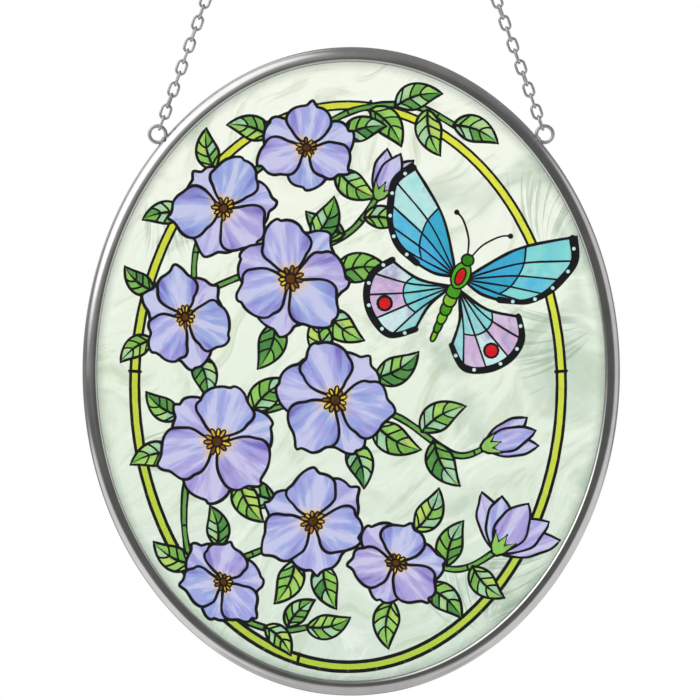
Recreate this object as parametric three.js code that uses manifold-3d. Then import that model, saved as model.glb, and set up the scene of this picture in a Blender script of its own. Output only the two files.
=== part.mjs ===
// Oval hanging suncatcher: a painted glass pane held in a polished metal rim, with a loop soldered to the rim
// at each shoulder and two legs of cable chain that meet in one hanging ring.
// Millimetres, +Z up, and the painted side faces -Y. The origin is inside the top of the ring, where a hook
// bears.
import * as THREE from "three";
import { mergeVertices } from "three/addons/utils/BufferGeometryUtils.js";
import Module from "manifold-3d";

const wasm = await Module();
wasm.setup();

// Driving dimensions of the oval panel
const OVAL_WIDTH = 168.4;
const OVAL_HEIGHT = 203.2;
const OVAL_STEPS = 60;
const PANE_THICKNESS = 3.0;
const FIT_GAP = 0.3;

// Driving dimensions of the rim's section: a U channel, rounded from its edge to a crest by each inner lip
const RIM_FACE = 4.6;
const RIM_DEPTH = 5.6;
const RIM_CREST = 3.8;
const RIM_CHANNEL_DEPTH = 2.3;
const RIM_LIP_HEIGHT = 0.45;
const RIM_SHOULDER_STEPS = 4;
const CLEARANCE_STEPS = 12;

// Driving dimensions of the soldered loops
const LOOP_ANGLE = THREE.MathUtils.degToRad(44.3);
const LOOP_STANDOFF = 2.4;
const LOOP_RADIUS = 2.58;
const LOOP_WIRE = 0.5;
const LOOP_SIDES = 6;
const LOOP_STEPS = 16;
const SOLDER_LENGTH = 4.4;
const SOLDER_WIDTH = 1.9;
const SOLDER_HEIGHT = 1.5;
const SOLDER_STEPS = 8;

// Driving dimensions of the chain and its hanging ring
const LINK_LENGTH = 5.3;
const LINK_WIDTH = 3.7;
const LINK_WIRE = 0.4;
const LINK_BITE = 0.07;
const LINK_SIDES = 4;
const LINK_BENDS = 8;
const LINKS_PER_LEG = 47;
const RING_RADIUS = 5.0;
const RING_WIRE = 0.65;
const RING_SIDES = 6;
const RING_STEPS = 20;

// Sizes worked out from the driving dimensions
const HALF_WIDTH = OVAL_WIDTH / 2;
const HALF_HEIGHT = OVAL_HEIGHT / 2;
const LINK_REACH = LINK_LENGTH / 2 - LINK_WIRE;
const LINK_PITCH = LINK_LENGTH - 4 * LINK_WIRE;

// The point of the rim's outer edge at an angle from the top, moved outwards by an offset, as (x, z).
function ovalPoint(angle, offset) {
  const edge = new THREE.Vector2(HALF_WIDTH * Math.sin(angle), HALF_HEIGHT * Math.cos(angle));
  const normal = new THREE.Vector2(Math.sin(angle) / HALF_WIDTH, Math.cos(angle) / HALF_HEIGHT);
  return edge.addScaledVector(normal.normalize(), offset);
}

// Each leg runs straight from the hanging ring's centre to a loop's centre, and the rest hangs below it.
const RING_CENTRE = new THREE.Vector3(0, 0, RING_WIRE - RING_RADIUS);
const LOOP_CENTRE = ovalPoint(LOOP_ANGLE, LOOP_STANDOFF);
const LOOP_FOOT = ovalPoint(LOOP_ANGLE, 0);
const FIRST_LINK = RING_RADIUS - RING_WIRE - LINK_WIRE - FIT_GAP + LINK_REACH;
const LAST_LINK = LOOP_RADIUS - LOOP_WIRE - LINK_WIRE - FIT_GAP + LINK_REACH;
const LEG_LENGTH = FIRST_LINK + (LINKS_PER_LEG - 1) * LINK_PITCH + LAST_LINK;
const LEG_DROP = Math.sqrt(LEG_LENGTH ** 2 - LOOP_CENTRE.x ** 2);
const OVAL_CENTRE = new THREE.Vector3(0, 0, RING_CENTRE.z - LEG_DROP - LOOP_CENTRE.y);

// A closed geometry as a solid, with its shared vertices merged.
function solidOf(geometry) {
  const bare = geometry.clone();
  bare.deleteAttribute("normal");
  bare.deleteAttribute("uv");
  const merged = mergeVertices(bare, 1e-4);
  const vertProperties = new Float32Array(merged.attributes.position.array);
  const triVerts = new Uint32Array(merged.index.array);
  return new wasm.Manifold(new wasm.Mesh({ numProp: 3, vertProperties, triVerts }));
}

// A solid as a geometry.
function geometryOf(solid) {
  const mesh = solid.getMesh();
  const geometry = new THREE.BufferGeometry();
  geometry.setAttribute("position", new THREE.BufferAttribute(mesh.vertProperties, 3));
  geometry.setIndex(new THREE.BufferAttribute(mesh.triVerts, 1));
  geometry.computeVertexNormals();
  return geometry;
}

function namedMesh(name, geometry, material) {
  const mesh = new THREE.Mesh(geometry, material);
  mesh.name = name;
  return mesh;
}

// A ring about the Y axis with a section of (distance in from the oval's outer edge, depth), bent to the oval
// so that the section keeps its width all the way round.
function ovalRing(section) {
  const profile = section.map((point) => new THREE.Vector2(HALF_WIDTH - point.x, point.y));
  profile.push(profile[0].clone());
  const ring = new THREE.LatheGeometry(profile, OVAL_STEPS);
  const place = ring.attributes.position;
  for (let i = 0; i < place.count; i += 1) {
    const x = place.getX(i);
    const z = place.getZ(i);
    const point = ovalPoint(Math.atan2(x, z), Math.hypot(x, z) - HALF_WIDTH);
    place.setXYZ(i, point.x, place.getY(i), point.y);
  }
  return ring;
}

// The back half of the rim's section, from the outer edge over the shoulder, the crest and the lip to the
// channel's floor, as (distance in from the outer edge, depth from the middle of the rim).
function rimBackHalf() {
  const channel = PANE_THICKNESS / 2 + FIT_GAP;
  const crest = RIM_DEPTH / 2;
  const half = [];
  for (let step = 1; step <= RIM_SHOULDER_STEPS; step += 1) {
    const turn = ((step / RIM_SHOULDER_STEPS) * Math.PI) / 2;
    half.push(new THREE.Vector2(RIM_CREST * (1 - Math.cos(turn)), crest * Math.sin(turn)));
  }
  half.push(new THREE.Vector2(RIM_FACE, channel + RIM_LIP_HEIGHT));
  half.push(new THREE.Vector2(RIM_FACE, channel));
  half.push(new THREE.Vector2(RIM_FACE - RIM_CHANNEL_DEPTH, channel));
  return half;
}

function rimSection() {
  const back = rimBackHalf();
  const front = back.map((point) => new THREE.Vector2(point.x, -point.y)).reverse();
  return [...front, new THREE.Vector2(0, 0), ...back];
}

// The rim's round outer half grown by the fit gap, which trims what is soldered to the rim's edge.
function rimClearance() {
  const section = [];
  for (let step = 0; step <= CLEARANCE_STEPS; step += 1) {
    const turn = Math.PI * (step / CLEARANCE_STEPS - 0.5);
    const out = (RIM_CREST + FIT_GAP) * Math.cos(turn);
    section.push(new THREE.Vector2(RIM_CREST - out, (RIM_DEPTH / 2 + FIT_GAP) * Math.sin(turn)));
  }
  return solidOf(ovalRing(section));
}

function makePane(material) {
  const inset = RIM_FACE - RIM_CHANNEL_DEPTH + FIT_GAP;
  const outline = new THREE.Shape();
  for (let i = 0; i < OVAL_STEPS; i += 1) {
    const point = ovalPoint((2 * Math.PI * i) / OVAL_STEPS, -inset);
    if (i === 0) outline.moveTo(point.x, point.y);
    else outline.lineTo(point.x, point.y);
  }
  outline.closePath();
  const pane = new THREE.ExtrudeGeometry(outline, { depth: PANE_THICKNESS, bevelEnabled: false });
  pane.translate(0, 0, -PANE_THICKNESS / 2);
  pane.rotateX(Math.PI / 2);
  return namedMesh("glass_pane", pane, material);
}

function makeRim(material) {
  return namedMesh("metal_rim", ovalRing(rimSection()), material);
}

// A wire loop that stands on the rim's edge in its solder. Side is 1 on the right and -1 on the left.
function makeLoop(name, side, material) {
  const wire = new THREE.TorusGeometry(LOOP_RADIUS, LOOP_WIRE, LOOP_SIDES, LOOP_STEPS);
  wire.rotateX(Math.PI / 2);
  wire.translate(side * LOOP_CENTRE.x, 0, LOOP_CENTRE.y);
  const solder = new THREE.SphereGeometry(0.5, SOLDER_STEPS, SOLDER_STEPS / 2);
  solder.scale(SOLDER_LENGTH, SOLDER_WIDTH, SOLDER_HEIGHT);
  solder.rotateY(side * Math.atan2(LOOP_CENTRE.x - LOOP_FOOT.x, LOOP_CENTRE.y - LOOP_FOOT.y));
  solder.translate(side * LOOP_FOOT.x, 0, LOOP_FOOT.y);
  const loop = solidOf(wire).add(solidOf(solder)).subtract(rimClearance());
  return namedMesh(name, geometryOf(loop), material);
}

// One link about its own centre, its long way along Z, lying in the XZ plane.
function linkGeometry() {
  const bend = LINK_WIDTH / 2 - LINK_WIRE;
  const turn = Math.PI / LINK_BENDS;
  const stretch = LINK_REACH - bend * Math.cos(turn);
  const link = new THREE.TorusGeometry(bend, LINK_WIRE + LINK_BITE, LINK_SIDES, LINK_BENDS);
  link.rotateZ(turn);
  link.rotateX(Math.PI / 2);
  const place = link.attributes.position;
  for (let i = 0; i < place.count; i += 1) {
    place.setZ(i, place.getZ(i) + Math.sign(place.getZ(i)) * stretch);
  }
  return link;
}

// One leg of chain, its links turned by a quarter in turn and fused where each bears on the next.
function makeChain(name, side, material) {
  const lean = Math.atan2(side * LOOP_CENTRE.x, -LEG_DROP);
  const along = new THREE.Vector3(Math.sin(lean), 0, Math.cos(lean));
  const links = [];
  for (let i = 0; i < LINKS_PER_LEG; i += 1) {
    const centre = RING_CENTRE.clone().addScaledVector(along, FIRST_LINK + i * LINK_PITCH);
    const link = linkGeometry();
    link.rotateZ(i % 2 === 0 ? Math.PI / 2 : 0);
    link.rotateY(lean);
    link.translate(centre.x, centre.y, centre.z);
    links.push(solidOf(link));
  }
  return namedMesh(name, geometryOf(wasm.Manifold.union(links)), material);
}

function makeRing(material) {
  const ring = new THREE.TorusGeometry(RING_RADIUS, RING_WIRE, RING_SIDES, RING_STEPS);
  ring.rotateX(Math.PI / 2);
  const mesh = namedMesh("hanging_ring", ring, material);
  mesh.position.copy(RING_CENTRE);
  return mesh;
}

const paintedGlass = new THREE.MeshStandardMaterial({ color: "#dfeadb", roughness: 0.08, metalness: 0 });
const polishedRim = new THREE.MeshStandardMaterial({ color: "#a9a9a8", roughness: 0.18, metalness: 1 });
const platedWire = new THREE.MeshStandardMaterial({ color: "#b4b4b4", roughness: 0.25, metalness: 1 });

const panel = new THREE.Group();
panel.position.copy(OVAL_CENTRE);
panel.add(makePane(paintedGlass));
panel.add(makeRim(polishedRim));
panel.add(makeLoop("left_loop", -1, platedWire));
panel.add(makeLoop("right_loop", 1, platedWire));

const suncatcher = new THREE.Group();
suncatcher.add(panel);
suncatcher.add(makeChain("left_chain", -1, platedWire));
suncatcher.add(makeChain("right_chain", 1, platedWire));
suncatcher.add(makeRing(platedWire));

export default suncatcher;
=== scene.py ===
"""Dresses the oval suncatcher: a painted glass pane in a polished rim, hung on two legs of fine chain.

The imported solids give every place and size. The picture is drawn the way a glass painter lays it down, from
back to front, in millimetres from the middle of the oval, x to the right and y up the panel. Overlaps are
then cut into one flat partition, so each spot of the glass carries one enamel or one black outline.
"""
import logging
import math
import random
from collections.abc import Callable, Iterator, Sequence
from contextlib import contextmanager
from dataclasses import dataclass, field
from enum import Enum

import bmesh
import bpy
from bpy.types import Material, Node, NodeSocket, NodeTree, Object, World
from mathutils import Euler, Matrix, Vector, noise
from mathutils.geometry import delaunay_2d_cdt


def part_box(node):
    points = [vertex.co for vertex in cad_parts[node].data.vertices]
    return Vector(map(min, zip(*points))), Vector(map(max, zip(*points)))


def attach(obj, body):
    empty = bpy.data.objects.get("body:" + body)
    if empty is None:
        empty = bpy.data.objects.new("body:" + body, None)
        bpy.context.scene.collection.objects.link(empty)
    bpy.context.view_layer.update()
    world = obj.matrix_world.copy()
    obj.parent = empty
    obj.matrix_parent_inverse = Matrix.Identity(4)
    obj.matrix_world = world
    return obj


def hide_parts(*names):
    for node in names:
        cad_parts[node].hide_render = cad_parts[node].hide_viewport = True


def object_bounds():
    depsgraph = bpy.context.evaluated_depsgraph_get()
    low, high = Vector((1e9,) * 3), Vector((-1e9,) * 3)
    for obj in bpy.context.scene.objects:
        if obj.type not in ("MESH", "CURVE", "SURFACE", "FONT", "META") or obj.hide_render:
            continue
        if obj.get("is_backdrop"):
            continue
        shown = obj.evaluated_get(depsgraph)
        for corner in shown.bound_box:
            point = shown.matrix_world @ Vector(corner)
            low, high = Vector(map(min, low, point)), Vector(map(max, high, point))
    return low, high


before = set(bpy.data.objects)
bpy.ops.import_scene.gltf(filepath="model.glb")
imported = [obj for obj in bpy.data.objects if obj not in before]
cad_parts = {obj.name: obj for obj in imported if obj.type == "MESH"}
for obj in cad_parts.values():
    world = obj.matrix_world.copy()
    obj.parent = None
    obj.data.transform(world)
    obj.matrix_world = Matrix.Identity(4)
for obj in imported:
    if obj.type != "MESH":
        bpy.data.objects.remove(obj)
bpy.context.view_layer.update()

LOG = logging.getLogger("suncatcher")
MM = 0.001
BODY = "root"

# The photograph's frame: its size, the real size of one pixel, and the pixel of the oval's middle
IMAGE_SIDE_PX = 700
MM_PER_PX = 0.3133
OVAL_MIDDLE_PX = (351.2, 371.3)

# What the painted cells carry for their enamels, and the smallest piece of paint that counts as one
CELL_MAP = "cell"
TONE = "tone"
SLIVER_MM2 = 1e-3

# The sockets of a Mix node, which has one name for several: what it mixes from and to, and its result
COLOUR_FROM, COLOUR_TO, COLOUR_RESULT = 6, 7, 2
LEVEL_FROM, LEVEL_TO, LEVEL_RESULT = 2, 3, 0


def box_middle(node: str) -> Vector:
    """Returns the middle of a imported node's box, in metres."""
    low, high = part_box(node)
    return (Vector(low) + Vector(high)) / 2


def box_size(node: str) -> Vector:
    """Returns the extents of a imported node's box, in metres."""
    low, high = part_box(node)
    return Vector(high) - Vector(low)


def linear(code: str) -> tuple[float, float, float, float]:
    """Turns an sRGB hex colour into linear values.

    Args:
        code: The colour, such as "#b4b8ee".

    Returns:
        Linear red, green, blue and an alpha of one.
    """
    parts = [int(code[start:start + 2], 16) / 255 for start in (1, 3, 5)]
    curve = [part / 12.92 if part <= 0.04045 else ((part + 0.055) / 1.055) ** 2.4 for part in parts]
    return (*curve, 1.0)


def add_node(
    tree: NodeTree, kind: str, settings: dict | None = None, values: dict | None = None,
    links: dict | None = None, stops: Sequence[tuple[float, str]] = (),
) -> Node:
    """Adds one shader node with its settings and links.

    Args:
        tree: The node tree.
        kind: The node's type name.
        settings: Properties of the node.
        values: Plain values, by socket name or number.
        links: Sources, by the name or number of the socket they feed.
        stops: Positions and sRGB hex colours, on a colour ramp.

    Returns:
        The new node.
    """
    node = tree.nodes.new(kind)
    for name, value in (settings or {}).items():
        setattr(node, name, value)
    for socket, value in (values or {}).items():
        node.inputs[socket].default_value = value
    for socket, source in (links or {}).items():
        tree.links.new(source, node.inputs[socket])
    stops_at_first = 2
    for number, (position, code) in enumerate(stops):
        if number < stops_at_first:
            stop = node.color_ramp.elements[number]
            stop.position = position
        else:
            stop = node.color_ramp.elements.new(position)
        stop.color = linear(code)
    return node


# Finishes


@dataclass(frozen=True)
class Finish:
    """A finish: its name and the plain values that its shader starts from."""

    name: str
    roughness: float
    metallic: float = 0.0
    transmission: float = 0.0
    ior: float = 1.5

    def build(self) -> Material:
        """Makes the finish.

        Returns:
            The material.
        """
        material = bpy.data.materials.new(self.name)
        material.use_nodes = True
        tree = material.node_tree
        tree.nodes.clear()
        shader = add_node(
            tree, "ShaderNodeBsdfPrincipled",
            values={
                "Roughness": self.roughness,
                "Metallic": self.metallic,
                "Transmission Weight": self.transmission,
                "IOR": self.ior,
            },
        )
        add_node(tree, "ShaderNodeOutputMaterial", links={"Surface": shader.outputs["BSDF"]})
        self.dress(tree, shader)
        return material

    def dress(self, tree: NodeTree, shader: Node) -> None:
        """Adds the finish's own colour and relief to its shader.

        Args:
            tree: The material's nodes.
            shader: Its shader.
        """
        raise NotImplementedError


@dataclass(frozen=True)
class PolishedNickel(Finish):
    """Nickel plate buffed on a wheel: near mirror, with faint hazy patches and hairlines from handling."""

    colour: str = "#c6c6c4"
    hazed: str = "#b8b8b6"
    uneven: tuple[float, float] = (0.04, 0.06)
    haze_mm: float = 9.0
    hairline_mm: float = 0.35

    def dress(self, tree: NodeTree, shader: Node) -> None:
        """Adds haze to the polish and hairlines too shallow to change the outline.

        Args:
            tree: The material's nodes.
            shader: Its shader.
        """
        place = add_node(tree, "ShaderNodeTexCoord")
        haze = add_node(
            tree, "ShaderNodeTexNoise", values={"Scale": 1 / (self.haze_mm * MM), "Detail": 3.0},
            links={"Vector": place.outputs["Object"]},
        )
        polish = add_node(
            tree, "ShaderNodeMapRange",
            values={"To Min": self.roughness - self.uneven[0], "To Max": self.roughness + self.uneven[1]},
            links={"Value": haze.outputs["Fac"]},
        )
        tint = add_node(
            tree, "ShaderNodeValToRGB", links={"Fac": haze.outputs["Fac"]},
            stops=((0.25, self.hazed), (0.75, self.colour)),
        )
        hairline = add_node(
            tree, "ShaderNodeTexNoise", values={"Scale": 1 / (self.hairline_mm * MM), "Detail": 2.0},
            links={"Vector": place.outputs["Object"]},
        )
        relief = add_node(
            tree, "ShaderNodeBump", values={"Strength": 0.05, "Distance": 0.02 * MM},
            links={"Height": hairline.outputs["Fac"]},
        )
        tree.links.new(tint.outputs["Color"], shader.inputs["Base Color"])
        tree.links.new(polish.outputs["Result"], shader.inputs["Roughness"])
        tree.links.new(relief.outputs["Normal"], shader.inputs["Normal"])


@dataclass(frozen=True)
class ClearGlass(Finish):
    """Float glass, poured flat: clear, with long shallow waves that only show in a slanting reflection."""

    colour: str = "#f6fbf7"
    wave_mm: float = 40.0

    def dress(self, tree: NodeTree, shader: Node) -> None:
        """Sets the clear tint and adds the long waves.

        Args:
            tree: The material's nodes.
            shader: Its shader.
        """
        shader.inputs["Base Color"].default_value = linear(self.colour)
        place = add_node(tree, "ShaderNodeTexCoord")
        wave = add_node(
            tree, "ShaderNodeTexNoise", values={"Scale": 1 / (self.wave_mm * MM), "Detail": 1.0},
            links={"Vector": place.outputs["Object"]},
        )
        relief = add_node(
            tree, "ShaderNodeBump", values={"Strength": 0.15, "Distance": 0.05 * MM},
            links={"Height": wave.outputs["Fac"]},
        )
        tree.links.new(relief.outputs["Normal"], shader.inputs["Normal"])


@dataclass(frozen=True)
class BlackLine(Finish):
    """Black relief paste drawn from a nozzle and fired: opaque, satin, and a little uneven along the line."""

    pull_mm: float = 1.4
    uneven: float = 0.1

    def dress(self, tree: NodeTree, shader: Node) -> None:
        """Adds the unevenness of a line drawn by hand.

        Args:
            tree: The material's nodes.
            shader: Its shader.
        """
        place = add_node(tree, "ShaderNodeTexCoord")
        pull = add_node(
            tree, "ShaderNodeTexNoise", values={"Scale": 1 / (self.pull_mm * MM), "Detail": 3.0},
            links={"Vector": place.outputs["Object"]},
        )
        tint = add_node(
            tree, "ShaderNodeValToRGB", links={"Fac": pull.outputs["Fac"]},
            stops=((0.3, "#020204"), (0.7, "#0a0a10")),
        )
        satin = add_node(
            tree, "ShaderNodeMapRange",
            values={"To Min": self.roughness - self.uneven, "To Max": self.roughness + self.uneven},
            links={"Value": pull.outputs["Fac"]},
        )
        relief = add_node(
            tree, "ShaderNodeBump", values={"Strength": 0.3, "Distance": 0.05 * MM},
            links={"Height": pull.outputs["Fac"]},
        )
        tree.links.new(tint.outputs["Color"], shader.inputs["Base Color"])
        tree.links.new(satin.outputs["Result"], shader.inputs["Roughness"])
        tree.links.new(relief.outputs["Normal"], shader.inputs["Normal"])


@dataclass(frozen=True)
class Spot:
    """What an enamel's colour can follow: sockets that say where a spot lies and how it was painted.

    Attributes:
        place: Object coordinates, in metres.
        along: Place along the cell, from 0 to 1.
        across: Place across the cell, from -1 to 1.
        tone: The cell's own tone, from 0 to 1.
        pool: Noise at the scale at which the enamel pools.
    """

    place: NodeSocket
    along: NodeSocket
    across: NodeSocket
    tone: NodeSocket
    pool: NodeSocket


@dataclass(frozen=True)
class Enamel(Finish):
    """A translucent glass enamel flooded into a cell: it lets daylight through and dries in uneven pools.

    Each cell carries its own map, u along the cell from 0 to 1 and v across it from -1 to 1, and one tone
    from 0 to 1 that picks its shade from the enamel's family of colours.
    """

    pool_mm: float = 5.0

    def dress(self, tree: NodeTree, shader: Node) -> None:
        """Links the cell's colour and adds the faint relief of pooled enamel.

        Args:
            tree: The material's nodes.
            shader: Its shader.
        """
        place = add_node(tree, "ShaderNodeTexCoord").outputs["Object"]
        chart = add_node(tree, "ShaderNodeUVMap", {"uv_map": CELL_MAP})
        cell = add_node(tree, "ShaderNodeSeparateXYZ", links={"Vector": chart.outputs["UV"]})
        tone = add_node(tree, "ShaderNodeAttribute", {"attribute_name": TONE})
        pool = add_node(
            tree, "ShaderNodeTexNoise",
            values={"Scale": 1 / (self.pool_mm * MM), "Detail": 2.0, "Distortion": 0.6},
            links={"Vector": place},
        )
        relief = add_node(
            tree, "ShaderNodeBump", values={"Strength": 0.08, "Distance": 0.04 * MM},
            links={"Height": pool.outputs["Fac"]},
        )
        spot = Spot(place, cell.outputs["X"], cell.outputs["Y"], tone.outputs["Fac"], pool.outputs["Fac"])
        tree.links.new(self.colour(tree, spot), shader.inputs["Base Color"])
        tree.links.new(relief.outputs["Normal"], shader.inputs["Normal"])

    def colour(self, tree: NodeTree, spot: Spot) -> NodeSocket:
        """Works out the colour of a cell.

        Args:
            tree: The material's nodes.
            spot: What the colour can follow.

        Returns:
            The colour's socket.
        """
        raise NotImplementedError

    @staticmethod
    def _shade(
        tree: NodeTree, spot: Spot, shades: Sequence[tuple[float, str]], window: tuple[float, float],
        swing: float,
    ) -> NodeSocket:
        """Picks a cell's shade by its tone, and lets it drift as the enamel pools.

        Args:
            tree: The material's nodes.
            spot: What the colour can follow.
            shades: The shades, by tone.
            window: The pooling at which the drift is at its two ends.
            swing: How far the tone drifts to either side.

        Returns:
            The shade's socket.
        """
        drift = add_node(
            tree, "ShaderNodeMapRange",
            values={"From Min": window[0], "From Max": window[1], "To Min": -swing, "To Max": swing},
            links={"Value": spot.pool},
        )
        pick = add_node(
            tree, "ShaderNodeMath", {"operation": "ADD", "use_clamp": True},
            links={0: spot.tone, 1: drift.outputs["Result"]},
        )
        shade = add_node(tree, "ShaderNodeValToRGB", links={"Fac": pick.outputs["Value"]}, stops=shades)
        return shade.outputs["Color"]

    @staticmethod
    def _lay(
        tree: NodeTree, colour: NodeSocket, over: str, amount: NodeSocket, window: tuple[float, float],
        most: float,
    ) -> NodeSocket:
        """Lays one more tint over a colour.

        Args:
            tree: The material's nodes.
            colour: The colour so far.
            over: The tint.
            amount: What decides where it lies.
            window: The amounts at which it begins and is fullest.
            most: Its strength where it is fullest.

        Returns:
            The mixed colour.
        """
        share = add_node(
            tree, "ShaderNodeMapRange", {"interpolation_type": "SMOOTHSTEP"},
            values={"From Min": window[0], "From Max": window[1], "To Max": most}, links={"Value": amount},
        )
        mixed = add_node(
            tree, "ShaderNodeMix", {"data_type": "RGBA"}, values={COLOUR_TO: linear(over)},
            links={"Factor": share.outputs["Result"], COLOUR_FROM: colour},
        )
        return mixed.outputs[COLOUR_RESULT]


@dataclass(frozen=True)
class ShadeEnamel(Enamel):
    """An enamel mixed in a few shades, darker where it pools and where the cell narrows to its root."""

    shades: tuple[tuple[float, str], ...] = ()
    deep: str = "#000000"
    deepest: float = 0.35

    def colour(self, tree: NodeTree, spot: Spot) -> NodeSocket:
        """Picks the shade by tone and deepens it by the pooling and towards the root.

        Args:
            tree: The material's nodes.
            spot: What the colour can follow.

        Returns:
            The colour's socket.
        """
        shade = self._shade(tree, spot, self.shades, (0.3, 0.7), 0.08)
        root = add_node(
            tree, "ShaderNodeMapRange", {"interpolation_type": "SMOOTHSTEP"},
            values={"From Min": 0.45, "From Max": 0.0, "To Max": self.deepest}, links={"Value": spot.along},
        )
        puddle = add_node(
            tree, "ShaderNodeMapRange", {"interpolation_type": "SMOOTHSTEP"},
            values={"From Min": 0.5, "From Max": 0.75, "To Max": self.deepest}, links={"Value": spot.pool},
        )
        amount = add_node(
            tree, "ShaderNodeMath", {"operation": "MAXIMUM"},
            links={0: root.outputs["Result"], 1: puddle.outputs["Result"]},
        )
        mixed = add_node(
            tree, "ShaderNodeMix", {"data_type": "RGBA"}, values={COLOUR_TO: linear(self.deep)},
            links={"Factor": amount.outputs["Value"], COLOUR_FROM: shade},
        )
        return mixed.outputs[COLOUR_RESULT]


@dataclass(frozen=True)
class PetalEnamel(Enamel):
    """Lavender enamel shaded wet in wet: violet by the margins, pale lights, and a yellow glow at the heart.

    Its streaks and bristle marks are counted along a petal and across it.
    """

    washes: tuple[tuple[float, str], ...] = (
        (0.15, "#a3b0e6"),
        (0.85, "#b9abe2"),
        (0.38, "#afb1ea"),
        (0.6, "#b4ade6"),
    )
    violet: str = "#7766c2"
    light: str = "#d9d7f3"
    glow: str = "#f5cc70"
    streaks: tuple[float, float] = (1.5, 2.2)
    bristles: tuple[float, float] = (1.6, 14.0)

    def colour(self, tree: NodeTree, spot: Spot) -> NodeSocket:
        """Lays the wash, the violet shading, the lights and the glow over each other.

        Args:
            tree: The material's nodes.
            spot: What the colour can follow.

        Returns:
            The colour's socket.
        """
        wash = self._shade(tree, spot, self.washes, (0.25, 0.75), 0.3)
        grain = self._grain(tree, spot)
        brushed = add_node(
            tree, "ShaderNodeMapping", values={"Scale": (*self.streaks, 1.0)}, links={"Vector": grain}
        )
        streak = add_node(
            tree, "ShaderNodeTexNoise", values={"Scale": 1.0, "Detail": 3.0, "Roughness": 0.5},
            links={"Vector": brushed.outputs["Vector"]},
        )
        hair = add_node(
            tree, "ShaderNodeMapping", values={"Scale": (*self.bristles, 1.0)}, links={"Vector": grain}
        )
        bristle = add_node(
            tree, "ShaderNodeTexNoise", values={"Scale": 1.0, "Detail": 2.0},
            links={"Vector": hair.outputs["Vector"]},
        )
        edge = add_node(tree, "ShaderNodeMath", {"operation": "ABSOLUTE"}, links={0: spot.across})
        margin = add_node(
            tree, "ShaderNodeMapRange",
            values={"From Min": 0.1, "From Max": 1.0, "To Min": -0.22, "To Max": 0.08},
            links={"Value": edge.outputs["Value"]},
        )
        shaded_margin = add_node(
            tree, "ShaderNodeMath", {"operation": "ADD"},
            links={0: streak.outputs["Fac"], 1: margin.outputs["Result"]},
        )
        shading = add_node(
            tree, "ShaderNodeMath", {"operation": "MULTIPLY_ADD"}, {1: 0.22},
            {0: bristle.outputs["Fac"], 2: shaded_margin.outputs["Value"]},
        )
        warmed = add_node(
            tree, "ShaderNodeMath", {"operation": "MULTIPLY_ADD"}, {1: 0.3},
            {0: bristle.outputs["Fac"], 2: spot.along},
        )
        shaded = self._lay(tree, wash, self.violet, shading.outputs["Value"], (0.53, 0.86), 0.85)
        lit = self._lay(tree, shaded, self.light, shading.outputs["Value"], (0.54, 0.36), 0.75)
        return self._lay(tree, lit, self.glow, warmed.outputs["Value"], (0.46, 0.22), 0.9)

    @staticmethod
    def _grain(tree: NodeTree, spot: Spot) -> NodeSocket:
        """Works out coordinates that fan out of the petal's root, as brush strokes do, with each petal apart.

        Args:
            tree: The material's nodes.
            spot: What the colour can follow.

        Returns:
            The coordinates' socket.
        """
        apart, behind_root = 37.0, 0.35
        shift = add_node(tree, "ShaderNodeMath", {"operation": "MULTIPLY"}, {1: apart}, {0: spot.tone})
        depth = add_node(tree, "ShaderNodeMath", {"operation": "ADD"}, {1: behind_root}, {0: spot.along})
        ray = add_node(
            tree, "ShaderNodeMath", {"operation": "DIVIDE"}, links={0: spot.across, 1: depth.outputs["Value"]}
        )
        grain = add_node(
            tree, "ShaderNodeCombineXYZ",
            links={"X": spot.along, "Y": ray.outputs["Value"], "Z": shift.outputs["Value"]},
        )
        return grain.outputs["Vector"]


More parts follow.
